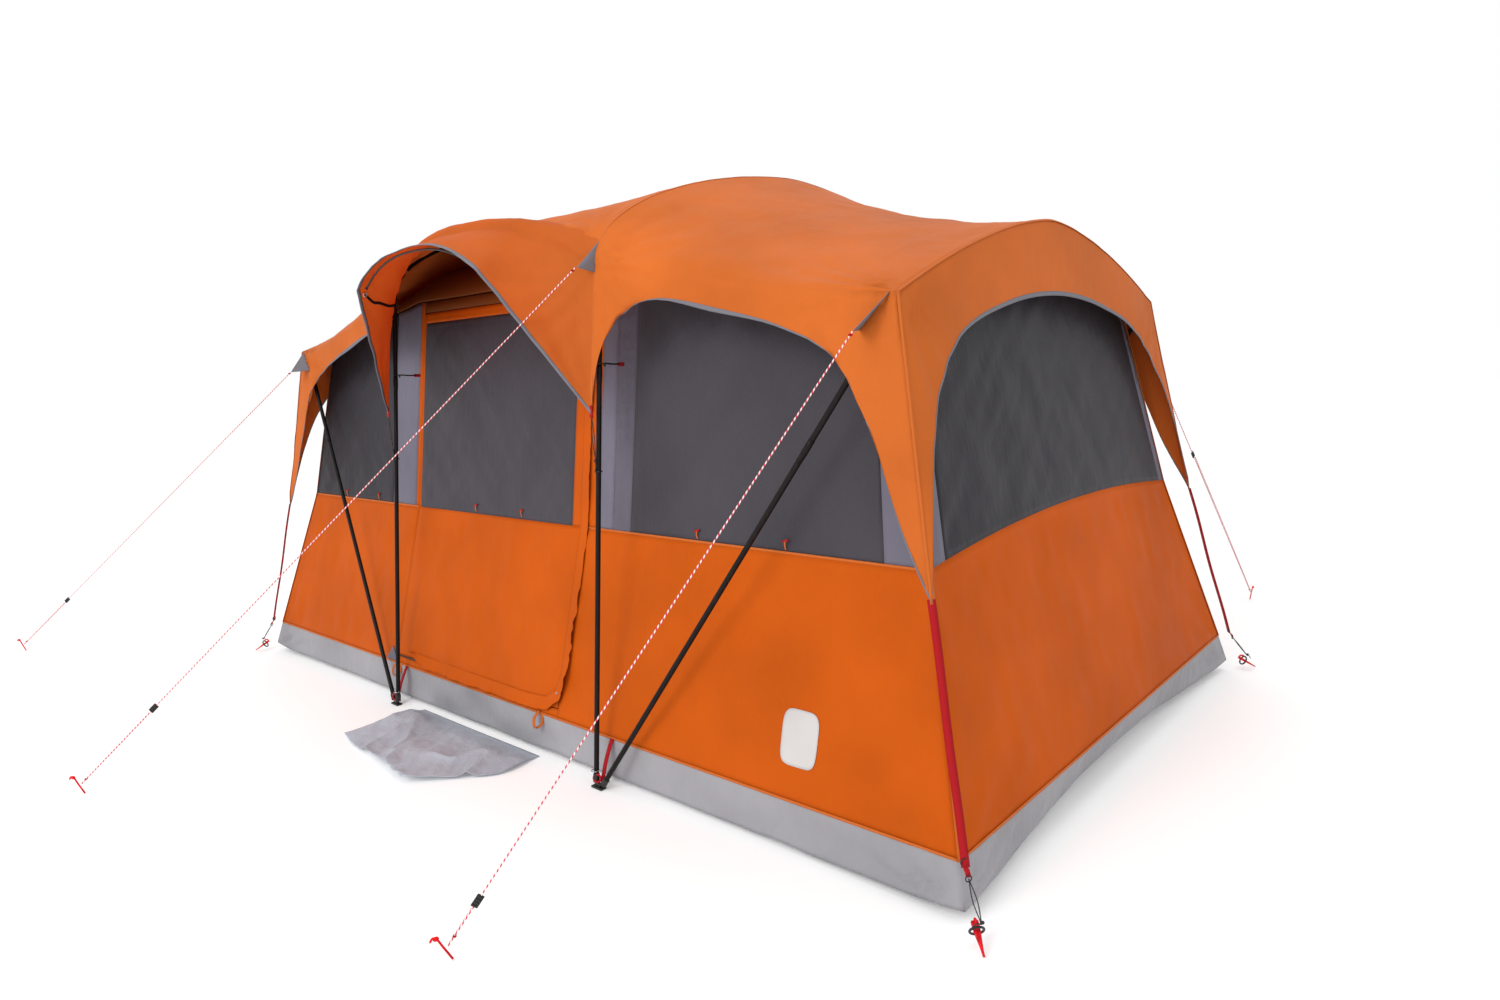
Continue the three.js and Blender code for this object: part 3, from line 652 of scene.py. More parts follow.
class Cloth:
    """A sheet made of patches. After wrinkle() it knows where each point of a path has gone."""

    def __init__(self, name, patches, material, inside):
        self.bm = bmesh.new()
        for patch in patches:
            self.add_patch(patch, inside)
        bmesh.ops.remove_doubles(self.bm, verts=self.bm.verts, dist=4e-4)
        self.bm.normal_update()
        self.mesh = bpy.data.meshes.new(name)
        self.bm.to_mesh(self.mesh)
        self.bm.free()
        self.mesh.materials.append(MATERIALS[material])
        self.mesh.polygons.foreach_set("use_smooth", [True] * len(self.mesh.polygons))
        self.object = bpy.data.objects.new(name, self.mesh)
        bpy.context.scene.collection.objects.link(self.object)
        self.rest = self.points()
        self.normals = self.vertex_normals()
        self.now = self.rest
        self.tree = KDTree(len(self.rest))
        for i, p in enumerate(self.rest):
            self.tree.insert(p, i)
        self.tree.balance()

    def add_patch(self, grid, inside):
        du = np.gradient(grid, axis=0)
        dv = np.gradient(grid, axis=1)
        facing = (np.cross(du, dv) * (grid - np.asarray(inside))).sum()
        verts = [[self.bm.verts.new(p) for p in row] for row in grid.tolist()]
        for i in range(len(verts) - 1):
            for j in range(len(verts[0]) - 1):
                quad = [verts[i][j], verts[i + 1][j], verts[i + 1][j + 1], verts[i][j + 1]]
                self.bm.faces.new(quad if facing > 0 else quad[::-1])

    def points(self):
        co = np.zeros(len(self.mesh.vertices) * 3, np.float32)
        self.mesh.vertices.foreach_get("co", co)
        return co.reshape(-1, 3).astype(float)

    def vertex_normals(self):
        n = np.zeros(len(self.mesh.vertices) * 3, np.float32)
        self.mesh.vertex_normals.foreach_get("vector", n)
        return n.reshape(-1, 3).astype(float)

    def wrinkle(self, height):
        """Moves each point along its normal by height(points, normals)."""
        self.now = self.rest + self.normals * height(self.rest, self.normals)[:, None]
        self.mesh.vertices.foreach_set("co", self.now.astype(np.float32).ravel())
        self.mesh.update()
        return self

    def thicken(self, thickness=0.0008):
        solid = self.object.modifiers.new("cloth", "SOLIDIFY")
        solid.thickness = thickness
        solid.offset = 0
        return self

    def follow(self, path):
        """Where the points of a path on the cloth are after wrinkling, and the cloth's normals there."""
        ids = [self.tree.find(p)[1] for p in np.asarray(path).tolist()]
        return self.now[ids], self.normals[ids]


HEM_WIDTH, HEM_THICK = 0.014, 0.0016
SEAM_WIDTH = 0.009


def hem(cloth, edge, inner):
    """A folded tape over an edge of the cloth: edge is its line, inner the next line of points."""
    e, n = cloth.follow(edge)
    i, _ = cloth.follow(inner)
    inward = unit(i - e)
    n = unit(n - inward * (n * inward).sum(1, keepdims=True))
    fold, wide = 0.3 * HEM_WIDTH, HEM_WIDTH
    outline = [(-0.0015, -0.6), (-0.0015, 0.6), (fold, 1.0), (wide, 1.0), (wide, -1.0), (fold, -1.0)]
    return loft(np.stack([e + inward * a + n * HEM_THICK * b for a, b in outline], 1), True, False)


def seam_tape(cloth, path):
    """A stitched lap seam lying on the cloth."""
    p, n = cloth.follow(path)
    ahead = unit(np.gradient(p, axis=0))
    return ribbon(p + n * 0.0005, np.cross(n, ahead), SEAM_WIDTH, 0.001)


# ---- flysheet ----

ROWS, ACROSS, CENTRE = 22, 48, 75
HOOP_T = np.sort(np.append(np.linspace(0, 1, 97), 0.5 - math.asin(FRONT_FRACTION) / math.pi))
HOOP_S = np.sin(np.pi / 2 * (2 * HOOP_T - 1))
FRONT_ROW = int(np.argmin(np.abs(HOOP_S + FRONT_FRACTION)))


def hoop_share(s):
    return (1 - np.minimum(np.abs(s), 1) ** 1.6) ** (1 / 2.1)


def mid_line(s, x, cover):
    """A middle hoop's line at shares s of its half width; cover is how far outside the tube it runs."""
    s = np.atleast_1d(s)
    y, z = (MID_HALF + cover) * s, EAVE_Z + (MID_RISE + cover) * hoop_share(s)
    return np.stack([np.full(len(s), x), y, z], 1)


def end_line(s, x, hub, rise):
    s = np.atleast_1d(s)
    return np.stack([np.full(len(s), x), hub[1] * s, hub[2] + rise * (1 - np.abs(s) ** 1.6)], 1)


def fly_mid(s, x=MID_X):
    return mid_line(s, x, POLE_COVER)


def fly_end(s):
    return end_line(s, FLY_HUB[0], FLY_HUB, FLY_END_RISE)


BAY_EDGE = [
    MID_TIP, vec(0.742, 1.147, 1.52), vec(0.795, 1.112, 1.664), vec(0.96, 1.084, 1.733),
    vec(1.25, 1.064, 1.674), vec(1.52, 1.055, 1.605), vec(1.715, 1.062, 1.505),
    vec(1.84, 1.082, 1.31), vec(1.945, 1.106, 1.055), CORNER_TIP,
]
HALF_END_EDGE = [
    CORNER_TIP, vec(2.013, 1.03, 1.15), vec(1.972, 0.915, 1.39), vec(1.944, 0.74, 1.552),
    vec(1.932, 0.38, 1.655),
]
FRONT = vec(1, -1, 1)
END_EDGE = [p * FRONT for p in HALF_END_EDGE] + [vec(1.93, 0, 1.69)] + HALF_END_EDGE[::-1]
BACK_CENTRE_EDGE = [
    MID_TIP * vec(-1, 1, 1), vec(-0.715, 1.14, 1.53), vec(-0.6, 1.095, 1.685), vec(0, 1.075, 1.735),
    vec(0.6, 1.095, 1.685), vec(0.715, 1.14, 1.53), MID_TIP,
]


def centre_roof(s, across):
    grid = np.zeros((len(across), len(s), 3))
    base = fly_mid(s)
    x = MID_X * (2 * across[:, None] - 1)
    forward = np.clip((-s - 0.62) / (FRONT_FRACTION - 0.62), 0, 1)[None]
    middle = 1 - (x / MID_X) ** 2
    grid[..., 0] = x
    grid[..., 1] = base[None, :, 1] - 0.015 * middle * forward
    grid[..., 2] = base[None, :, 2] + middle * (0.063 * forward**2 - 0.012 * (1 - forward))
    return grid


def awning_hoop(t):
    t = np.atleast_1d(t)
    z = AWNING_SHOULDER + AWNING_RISE * (1 - np.abs(t) ** 2.5)
    return np.stack([AWNING_HALF * t, -AWNING_REACH - 0.012 * (1 - t * t), z], 1)


def awning_edge(u):
    middle = np.clip((u - HOOP_START) / (1 - 2 * HOOP_START), 0, 1)
    edge = awning_hoop(2 * middle - 1)
    for side, share in ((-1, u / HOOP_START), (1, (1 - u) / HOOP_START)):
        wing = share < 1
        tip = MID_TIP * vec(side, -1, 1)
        edge[wing] = mix(tip, awning_hoop(side)[0], share[wing][:, None])
    return edge


class FlyPatches:
    """The fly's patches with the lines along their seams and free edges."""

    def __init__(self):
        u = np.linspace(0, 1, ACROSS + 1)
        v = np.linspace(0, 1, ROWS + 1)
        c = np.linspace(0, 1, CENTRE + 1)
        self.patches, self.hems, self.seams = [], {}, {}
        for name, side in SIDES:
            turn = vec(side, 1, 1)
            sag = 4 * u * (1 - u) * mix(EAVE_SAG, SADDLE, hoop_share(HOOP_S))[:, None]
            roof = mix(fly_mid(HOOP_S)[:, None], fly_end(HOOP_S)[:, None], u[None, :, None])
            roof[..., 2] -= sag
            self.patches.append(roof * turn)
            self.seams[f"mid_{name}"] = roof[:, 0] * turn
            self.seams[f"end_{name}"] = roof[:, -1] * turn
            end_edge = catmull_at(END_EDGE, HOOP_T)
            skirt = coons(HOOP_T, v, fly_end(HOOP_S), end_edge, straight(fly_end(-1)[0], end_edge[0], v),
                          straight(fly_end(1)[0], end_edge[-1], v))
            self.patches.append(skirt * turn)
            self.hems[f"end_{name}"] = (skirt[:, -1] * turn, skirt[:, -2] * turn)
            for face_name, face in FACES:
                flip = vec(side, face, 1)
                eave = roof[-1]
                edge = catmull_at(BAY_EDGE, u)
                bay = coons(u, v, eave, edge, straight(eave[0], edge[0], v), straight(eave[-1], edge[-1], v))
                self.patches.append(bay * flip)
                self.hems[f"bay_{face_name}_{name}"] = (bay[:, -1] * flip, bay[:, -2] * flip)
                self.seams[f"mid_drop_{face_name}_{name}"] = bay[0] * flip
                self.seams[f"corner_{face_name}_{name}"] = bay[-1] * flip
        centre = centre_roof(HOOP_S[FRONT_ROW:], c)
        self.patches.append(centre)
        eave = centre[:, -1]
        edge = catmull_at(BACK_CENTRE_EDGE, c)
        skirt = coons(c, v, eave, edge, straight(eave[0], edge[0], v), straight(eave[-1], edge[-1], v))
        self.patches.append(skirt)
        self.hems["back_centre"] = (skirt[:, -1], skirt[:, -2])
        bend = 0.24
        upper_s = HOOP_S[FRONT_ROW::-1]
        upper_v = bend * (-upper_s - FRONT_FRACTION) / (1 - FRONT_FRACTION)
        rows = np.concatenate([upper_v, mix(bend, 1, v[1:])])
        sides = []
        for _, side in SIDES:
            drop = straight(fly_mid(-1, side * MID_X)[0], MID_TIP * vec(side, -1, 1), v[1:])
            sides.append(np.vstack([fly_mid(upper_s, side * MID_X), drop]))
        awning = coons(c, rows, centre[:, 0], awning_edge(c), sides[0], sides[1])
        self.patches.append(awning)
        self.hems["awning"] = (awning[:, -1], awning[:, -2])


FOLD_POINTS = [FLY_HUB, vec(MID_X, 1.104, 1.87), CORNER_TIP, MID_TIP]


def fly_height(p, _):
    h = (0.0045 * billow(p, (0.45, 0.4, 0.5), 3) + 0.0042 * billow(p, (0.16, 0.2, 0.2), 8)
         + 0.0014 * billow(p, (0.05, 0.07, 0.09), 14))
    for k, anchor in enumerate(FOLD_POINTS):
        for _, side, face in CORNERS:
            place, seed = anchor * vec(side, face, 1), 7 * k + side + 2 * face + 9
            h += 0.009 * fan(p, place, place * vec(1, 1, 0.3), 15 + 2 * k, 0.24, seed)
    for _, side in SIDES:
        shoulder = vec(side * AWNING_HALF, -AWNING_REACH, AWNING_SHOULDER)
        h += 0.004 * fan(p, shoulder, vec(side, -1, 0.4), 13, 0.14, 5)
    off_hoop = np.minimum(np.abs(np.abs(p[:, 0]) - MID_X), np.abs(np.abs(p[:, 0]) - FLY_HUB[0]))
    h += 0.0013 * np.exp(-off_hoop / 0.05) * billow(p, (0.5, 0.035, 0.035), 21)
    return h * (0.25 + 0.75 * smoothstep(0.0, 0.08, off_hoop))


def add_fly():
    parts = FlyPatches()
    fly = Cloth("flysheet", parts.patches, "fly", (0, 0, 0.9)).wrinkle(fly_height).thicken()
    fly.mesh.materials.append(MATERIALS["awning"])
    for face in fly.mesh.polygons:
        face.material_index = int(face.center.y < -1.08 and abs(face.center.x) < MID_X - 0.004)
    piece(fly.object, stands_for=["fly_left", "fly_center", "fly_right", "awning_canopy"])
    tapes = [hem(fly, edge, inner) for edge, inner in parts.hems.values()]
    binding = solid("fly_binding", tapes, "binding", "fly_polyester")
    lines = [seam_tape(fly, line) for line in parts.seams.values()]
    seams = solid("fly_seams", lines, "seam", "fly_polyester")
    return fly


# ---- hoops ----


def mid_pole(s, x):
    return mid_line(s, x, 0)


def end_pole(s, x):
    return end_line(s, x, HUB, END_RISE)


STRAIGHT_SHARES = (0.01, 0.4, 0.75, 0.92, 0.985)
SLEEVE_R = 0.0108


def leg_path(foot, top, bends):
    """A leg, straight up to near its top and then bent along the hoop."""
    return catmull([*[mix(foot, top, t) for t in STRAIGHT_SHARES], *bends], 90)


def hoop_path(pole, x, limit, count):
    return catmull(pole(np.sin(np.linspace(-np.pi / 2, np.pi / 2, count)) * limit, x), 120)


def collar(path, start, end):
    """A sleeve round a stretch of a tube, with softened ends."""
    first = int(start * len(path))
    part = path[first:max(int(end * len(path)), first + 3)]
    radii = np.full(len(part), SLEEVE_R)
    radii[[0, -1]] = SLEEVE_R - 0.001
    return tube(part, radii, 16)


def foot_shapes(side, face, leg, brace):
    """A moulded foot: a rounded plate with a socket for the upright and one for the brace."""
    plate = block((side * (MID_X + 0.014), face * FOOT_Y, 0.004), (0.058, 0.028, 0.008))
    web = block((side * (MID_X + 0.013), face * FOOT_Y, 0.014), (0.03, 0.012, 0.016))
    sockets = [tube(resampled(path, 0.004)[:9], 0.0122, 16) for path in (leg, brace)]
    return [plate, web, *sockets]


def add_hoops():
    for side_name, side in SIDES:
        for face_name, face in FACES:
            name = f"{face_name}_{side_name}"
            foot = vec(side * MID_X, face * FOOT_Y, 0)
            elbow = vec(side * MID_X, face * MID_HALF, EAVE_Z)
            leg = leg_path(foot, elbow, [mid_pole(face * s, side * MID_X)[0] for s in (0.985, 0.95)])
            hub = HUB * vec(side, face, 1)
            brace = leg_path(foot + vec(side * 0.026, 0, 0), hub, [end_pole(face * 0.94, side * HUB[0])[0]])
            bottom = resampled(leg, 0.003)[5]
            shapes = [tube(leg, POLE_R, 16), collar(leg, 0.36, 0.41), collar(leg, 0.955, 1.0)]
            solid(f"leg_{name}", shapes, "tube", "pole_steel", [f"upright_{name}"])
            shapes = [tube(brace, POLE_R, 16), collar(brace, 0.38, 0.43), collar(brace, 0.95, 1.0)]
            solid(f"brace_tube_{name}", shapes, "tube", "pole_steel", [f"brace_{name}"])
            made = object_of(f"foot_shoe_{name}", foot_shapes(side, face, leg, brace), "plastic", True, 0.003)
            piece(made, stands_for=[f"foot_{name}"])
            hoop = ring(bottom + vec(0, face * 0.004, 0.03), (0, 0, 1), 0.0125, 0.0016)
            loop = ring(bottom + vec(side * 0.012, face * 0.006, 0.004), (0.2, face, 0.3), 0.017, 0.0035, 0.8)
            solid(f"foot_band_{name}", hoop, "steel", "pole_steel")
            solid(f"foot_loop_{name}", loop, "red", "red_webbing")
        roof = hoop_path(mid_pole, side * MID_X, 0.93, 17)
        shapes = [tube(roof, POLE_R, 16)]
        shapes += [collar(roof, *span) for span in ((0.0, 0.04), (0.96, 1.0), (0.48, 0.52))]
        solid(f"roof_hoop_{side_name}", shapes, "tube", "pole_steel", [f"roof_pole_{side_name}"])
        arch = hoop_path(end_pole, side * HUB[0], 0.925, 15)
        shapes = [tube(arch, POLE_R, 16), collar(arch, 0.0, 0.04), collar(arch, 0.96, 1.0)]
        solid(f"end_hoop_{side_name}", shapes, "tube", "pole_steel", [f"end_arch_pole_{side_name}"])
    rod = awning_hoop(np.linspace(-0.92, 0.92, 13)) + vec(0, 0.026, -0.014)
    tips = [ring(rod[k], (1, 0, 0), 0.0045, 0.002) for k in (0, -1)]
    solid("awning_rod", [tube(catmull(rod, 80), 0.004, 12), *tips], "rod", "fibreglass_rod", ["awning_hoop"])


# ---- inner tent ----

INSIDE = (0, 0, 0.9)


def wall_x(z):
    sill = FLOOR_X - LOWER_LEAN_X * (SILL - 0.05)
    return sill + np.where(z < SILL, LOWER_LEAN_X, UPPER_LEAN_X) * (SILL - z)


def wall_y(z):
    sill = FLOOR_Y - LOWER_LEAN_Y * (SILL - 0.05)
    return sill + np.where(z < SILL, LOWER_LEAN_Y, UPPER_LEAN_Y) * (SILL - z)


def as_function(value):
    return value if callable(value) else lambda _: value


def panel(place, left, right, low, high, step=0.022):
    """A grid of points on a wall between two sides, functions of the height, and a lower and an upper
    edge, functions of the place along the wall. place turns (along, z) into points."""
    left, right, low, high = (as_function(f) for f in (left, right, low, high))
    height = abs(high(right(1.0)) - low(right(1.0)))
    length = max(abs(right(low(0.0)) - left(low(0.0))), abs(right(1.3) - left(1.3)))
    nu, nv = max(2, int(length / step)), max(2, int(height / step))
    u = np.linspace(0, 1, nu + 1)[:, None]
    v = np.linspace(0, 1, nv + 1)[None]
    z = mix(0.9, 1.2, v) + 0 * u
    for _ in range(6):
        along = mix(left(z), right(z), u) + 0 * z
        z = mix(low(along), high(along), v) + 0 * along
    grid = place(along, z)
    border = np.minimum(np.minimum(u, 1 - u) * nu, np.minimum(v, 1 - v) * nv) * step
    return grid, border + 0 * z


def long_wall(face):
    return lambda x, z: np.stack([x, face * wall_y(z), z], -1)


def end_wall(side):
    return lambda y, z: np.stack([side * wall_x(z), y, z], -1)


def wall_top(x):
    """Height of the upper edge of a long wall: level in the middle, falling to the ends."""
    share = np.clip((np.abs(x) - SHOULDER_X) / (wall_x(END_WALL_TOP) - SHOULDER_X), 0, 1)
    return mix(WALL_TOP, END_WALL_TOP, share)


def wrinkled(grid_and_border, height, fade=0.05):
    """Moves the grid's points along its normal, and not at all on its border."""
    grid, border = grid_and_border
    normal = unit(np.cross(np.gradient(grid, axis=0), np.gradient(grid, axis=1)))
    if (normal * (grid - INSIDE)).sum() < 0:
        normal = -normal
    flat = grid.reshape(-1, 3)
    lift = height(flat).reshape(border.shape) * smoothstep(0, fade, border)
    return grid + normal * lift[..., None]


def corner_pull(p, z, seed):
    """Folds that run up from the pegged corners."""
    total = 0.0
    for _, side, face in CORNERS:
        place = vec(side * FLOOR_X, face * FLOOR_Y, z)
        total = total + fan(p, place, vec(side, face, 0.3), 17, 0.33, seed + side + 2 * face)
    return total


def lower_height(p):
    return (0.008 * corner_pull(p, 0.05, 30) + 0.008 * billow(p, (0.55, 0.55, 0.4), 40)
            + 0.0038 * billow(p, (0.075, 0.075, 0.6), 43) + 0.002 * billow(p, (0.05, 0.05, 0.09), 47))


def net_height(p):
    q = np.stack([p[:, 0] + p[:, 1] + 0.8 * p[:, 2], p[:, 0] + p[:, 1] - 1.1 * p[:, 2], p[:, 2]], 1)
    return (0.008 * billow(p, (0.5, 0.5, 0.4), 60) + 0.0055 * billow(q, (0.13, 0.8, 0.6), 63)
            + 0.0035 * billow(q, (0.6, 0.08, 0.4), 67))


def strip_height(p):
    return 0.004 * billow(p, (0.06, 0.06, 0.35), 80) + 0.003 * billow(p, (0.05, 0.05, 0.09), 83)


def gather_height(p):
    return 0.003 * billow(p, (0.09, 0.09, 0.018), 87) + 0.003 * billow(p, (0.05, 0.05, 0.4), 89)


def lower_cloth(at, *edges, step=0.022):
    return wrinkled(panel(at, *edges, step=step), lower_height)


def netting(at, *edges, step=0.022):
    return wrinkled(panel(at, *edges, step=step), net_height)


def strip_cloth(at, *edges):
    return wrinkled(panel(at, *edges), strip_height, 0.02)


def cloth_of(name, grids, material, stands_for=(), body="tent"):
    made = Cloth(name, grids, material, INSIDE).thicken(0.0006)
    return piece(made.object, body, stands_for) if body else made.object


NET_INNER, NET_OUTER = 0.694, 1.826


def right_net_edge(z):
    return NET_OUTER - 0.108 * (z - SILL)


def add_front_wall():
    at = long_wall(-1)
    low = lambda *edges: lower_cloth(at, *edges)
    left_end, right_end = (lambda z: -wall_x(z)), wall_x
    orange = [
        low(left_end, DOOR_LEFT, BAND_TOP, SILL), low(DOOR_RIGHT, right_end, BAND_TOP, SILL),
        low(DOOR_LEFT, DOOR_RIGHT, BAND_TOP, DOOR_BOTTOM), low(-0.88, DOOR_LEFT, SILL, wall_top),
        low(DOOR_RIGHT, 0.5, SILL, wall_top),
    ]
    # The header over the door uses the brown cloth, which is painted shade under the fly.
    cloth_of("front_header", [low(DOOR_LEFT, DOOR_RIGHT, DOOR_TOP, WALL_TOP)], "painted_shade_orange")
    cloth_of("front_wall", orange, "wall", ["wall_front"])
    # The left net uses the darker copy of the net, which is painted shade.
    nets = {"left": (left_end, -1.105, "window_painted_shade"), "right": (NET_INNER, right_net_edge, "window")}
    for name, (near, far, material) in nets.items():
        cloth_of(f"front_net_{name}", [netting(at, near, far, SILL, wall_top)], material)
    pairs = ((-1.105, -0.88), (0.5, 0.59), (right_net_edge, right_end))
    silver = [strip_cloth(at, *pair, SILL, wall_top) for pair in pairs]
    gathered = wrinkled(panel(at, 0.59, NET_INNER, SILL, wall_top, step=0.012), gather_height, 0.02)
    cloth_of("front_lining", [gathered], "lining")
    cloth_of("front_strips", silver, "silver")


def add_back_wall():
    at = long_wall(1)
    ends = {-1: (lambda z: -wall_x(z)), 1: wall_x}
    orange = [lower_cloth(at, ends[-1], ends[1], BAND_TOP, SILL)]
    cloth_of("back_wall", orange, "wall", ["wall_back"])
    strips = []
    for name, side in SIDES:
        outer = (lambda z: -right_net_edge(z)) if side < 0 else right_net_edge
        grid = netting(at, side * NET_INNER, outer, SILL, wall_top)
        cloth_of(f"back_net_{name}", [grid], "window")
        for edges in ((outer, ends[side]), (side * 0.5, side * NET_INNER)):
            strips.append(strip_cloth(at, *edges, SILL, wall_top))
    cloth_of("back_strips", strips, "silver")
    cloth_of("back_net_centre", [netting(at, -0.5, 0.5, SILL, wall_top)], "window")


def add_end_walls():
    for name, side in SIDES:
        at = end_wall(side)
        front = lambda z: -wall_y(z)
        net_low = lambda y: 0.9 + 0.055 * (1 - np.clip(np.abs(y), 0, 1) ** 2)
        grids = [lower_cloth(at, front, wall_y, BAND_TOP, net_low)]
        cloth_of(f"end_wall_{name}", grids, "wall", [f"wall_{name}"])
        inner = (lambda z: 0.085 - wall_y(z)), (lambda z: wall_y(z) - 0.05)
        grid = netting(at, *inner, net_low, END_WALL_TOP)
        # The end nets use the darker copy of the net, which is painted shade.
        cloth_of(f"end_net_{name}", [grid], "window_painted_shade")
        pairs = ((front, inner[0]), (inner[1], wall_y))
        strips = [strip_cloth(at, *pair, net_low, END_WALL_TOP) for pair in pairs]
        cloth_of(f"end_strips_{name}", strips, "silver")


def corner_lift(x, y):
    """The floor's corners are pulled up by their pegs, its ends and sides are lifted and its edge is wavy."""
    far = np.hypot(np.abs(x) - FLOOR_X, np.abs(y) - FLOOR_Y)
    end = smoothstep(0.35, 0.05, FLOOR_X - np.abs(x)) * (1 - (y / FLOOR_Y) ** 2)
    side = smoothstep(0.25, 0.03, FLOOR_Y - np.abs(y)) * (1 - (x / FLOOR_X) ** 6)
    edge = smoothstep(0.25, 0.0, np.minimum(FLOOR_X - np.abs(x), FLOOR_Y - np.abs(y)))
    points = np.stack([x, y, 0 * x], -1).reshape(-1, 3)
    wave = np.abs(billow(points, (0.3, 0.3, 1), 90)).reshape(x.shape)
    return 0.042 * np.exp(-far / 0.2) + 0.009 * edge * wave + 0.055 * end + 0.015 * side


def add_tub():
    u = np.linspace(-1, 1, 181)
    w = np.linspace(-1, 1, 101)
    x, y = np.meshgrid(FLOOR_X * u, w, indexing="ij")
    x = x * (1 - 0.03 * np.abs(x / FLOOR_X) ** 8 * (1 - y * y))
    y = y * (FLOOR_Y - 0.028 * (1 - u[:, None] ** 6))
    z = corner_lift(x, np.clip(y, -FLOOR_Y, FLOOR_Y)) + 0.0012
    base = np.stack([x, y, z], -1)
    band_y, band_x = float(wall_y(BAND_TOP)), float(wall_x(BAND_TOP))
    rows = np.linspace(0, 1, 11)
    patches = [base]
    for face, edge in ((-1, base[:, 0]), (1, base[:, -1])):
        top = np.stack([band_x * u, np.full(len(u), face * band_y), np.full(len(u), BAND_TOP)], 1)
        patches.append(band(edge, top, rows))
    for side, edge in ((-1, base[0]), (1, base[-1])):
        top = np.stack([np.full(len(w), side * band_x), band_y * w, np.full(len(w), BAND_TOP)], 1)
        patches.append(band(edge, top, rows))
    tub = Cloth("tub", patches, "floor", (0, 0, 0.08)).thicken(0.001)
    piece(tub.object, stands_for=["tub_floor"])


def band(edge, top, rows):
    grid = mix(edge[:, None], top[:, None], rows[None, :, None])
    normal = unit(np.cross(np.gradient(grid, axis=0), np.gradient(grid, axis=1)))
    normal *= np.sign((normal * (grid - vec(0, 0, 0.08))).sum(-1, keepdims=True))
    flat = grid.reshape(-1, 3)
    lift = 0.013 * billow(flat, (0.24, 0.24, 0.3), 95) + 0.007 * billow(flat, (0.08, 0.08, 0.14), 98)
    lift = (lift + 0.014 * corner_pull(flat, 0.02, 33)).reshape(grid.shape[:2])
    from_ends = [np.linalg.norm(grid - end, axis=-1) for end in (grid[:1], grid[-1:])]
    ends = smoothstep(0, 0.08, np.minimum(*from_ends))
    return grid + normal * (lift * ends * np.sin(np.pi * rows)[None])[..., None]


def add_inner_roof():
    count = 65
    s = np.sin(np.pi / 2 * (2 * np.linspace(0, 1, count) - 1))
    lift = 0.0045
    rise = CEILING_RISE * np.sqrt(1 - np.abs(s) ** 1.8)
    ridge = np.stack([np.full(count, SHOULDER_X), wall_y(WALL_TOP) * s, WALL_TOP + lift + rise], 1)
    end = np.stack([np.full(count, wall_x(END_WALL_TOP)), wall_y(END_WALL_TOP) * s,
                    np.full(count, END_WALL_TOP + lift)], 1)
    v = np.linspace(0, 1, 30)[None, :, None]
    slope = mix(ridge[:, None], end[:, None], v)
    across = np.linspace(-1, 1, 50)[None, :, None]
    middle = np.repeat(ridge[:, None], 50, 1) * vec(0, 1, 1) + across * vec(SHOULDER_X, 0, 0)
    # The inner roof uses the brown cloth, which is painted shade under the fly.
    roof = Cloth("inner_ceiling", [slope, slope * vec(-1, 1, 1), middle], "painted_shade_orange", INSIDE)
    edge = lambda p: smoothstep(0, 0.1, p[:, 2] - END_WALL_TOP)
    roof.wrinkle(lambda p, _: 0.005 * billow(p, (0.3, 0.3, 0.3), 110) * edge(p)).thicken(0.0006)
    piece(roof.object, stands_for=["inner_roof"])


def wall_line(place, points):
    """A line on a wall from (along, z) points."""
    p = resampled([(a, z, 0) for a, z in points], 0.02)
    return place(p[:, 0], p[:, 1])


def add_wall_seams():
    """Lap seams at the walls' corners, on the sills and along the top of the band."""
    shapes = []
    heights = np.linspace(BAND_TOP, END_WALL_TOP, 60)
    for _, side, face in CORNERS:
        corner = np.stack([side * wall_x(heights), face * wall_y(heights), heights], 1)
        out = unit(vec(side, face, 0.3))
        shapes.append(ribbon(corner + out * 0.001, unit(vec(side, -face, 0)), 0.012, 0.0016))
    half, low_half = 1.975, wall_x(BAND_TOP)
    for _, face in FACES:
        spans = [(-half, DOOR_LEFT), (DOOR_RIGHT, half)] if face < 0 else [(-half, half)]
        lines = [[(a, SILL), (b, SILL)] for a, b in spans] + [[(-low_half, BAND_TOP), (low_half, BAND_TOP)]]
        for line in lines:
            path = wall_line(long_wall(face), line)
            shapes.append(ribbon(path + vec(0, face * 0.001, 0), (0, 0, 1), SEAM_WIDTH, 0.0014))
    for _, side in SIDES:
        y = np.linspace(-1, 1, 50) * float(wall_y(BAND_TOP))
        path = end_wall(side)(y, np.full(50, BAND_TOP))
        shapes.append(ribbon(path + vec(side * 0.001, 0, 0), (0, 0, 1), SEAM_WIDTH, 0.0014))
    solid("wall_seams", shapes, "seam", "inner_polyester")


# ---- door, covers, mat ----

DOOR_GAP = 0.003
DOOR_NET = (-0.835, 0.344, 1.77)
ZIP_LINE = [(0.414, 1.8), (0.414, 0.3), (0.39, 0.235), (0.34, 0.207), (-0.83, 0.201)]
FLAP_LINE = [
    (0.43, 1.8), (0.43, 1.3), (0.432, 0.896), (0.436, 0.34), (0.41, 0.25), (0.34, 0.205), (0.2, 0.196),
    (-0.25, 0.2), (-0.72, 0.206),
]
COVER_LOW, COVER_HIGH, COVER_DEPTH = 0.905, 1.6, 0.0132


def blended(made, stands_for=()):
    """Door cloth: its placement is baked into its points, and the parts it stands for are hidden."""
    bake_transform(made)
    if stands_for:
        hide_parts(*stands_for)
    return made


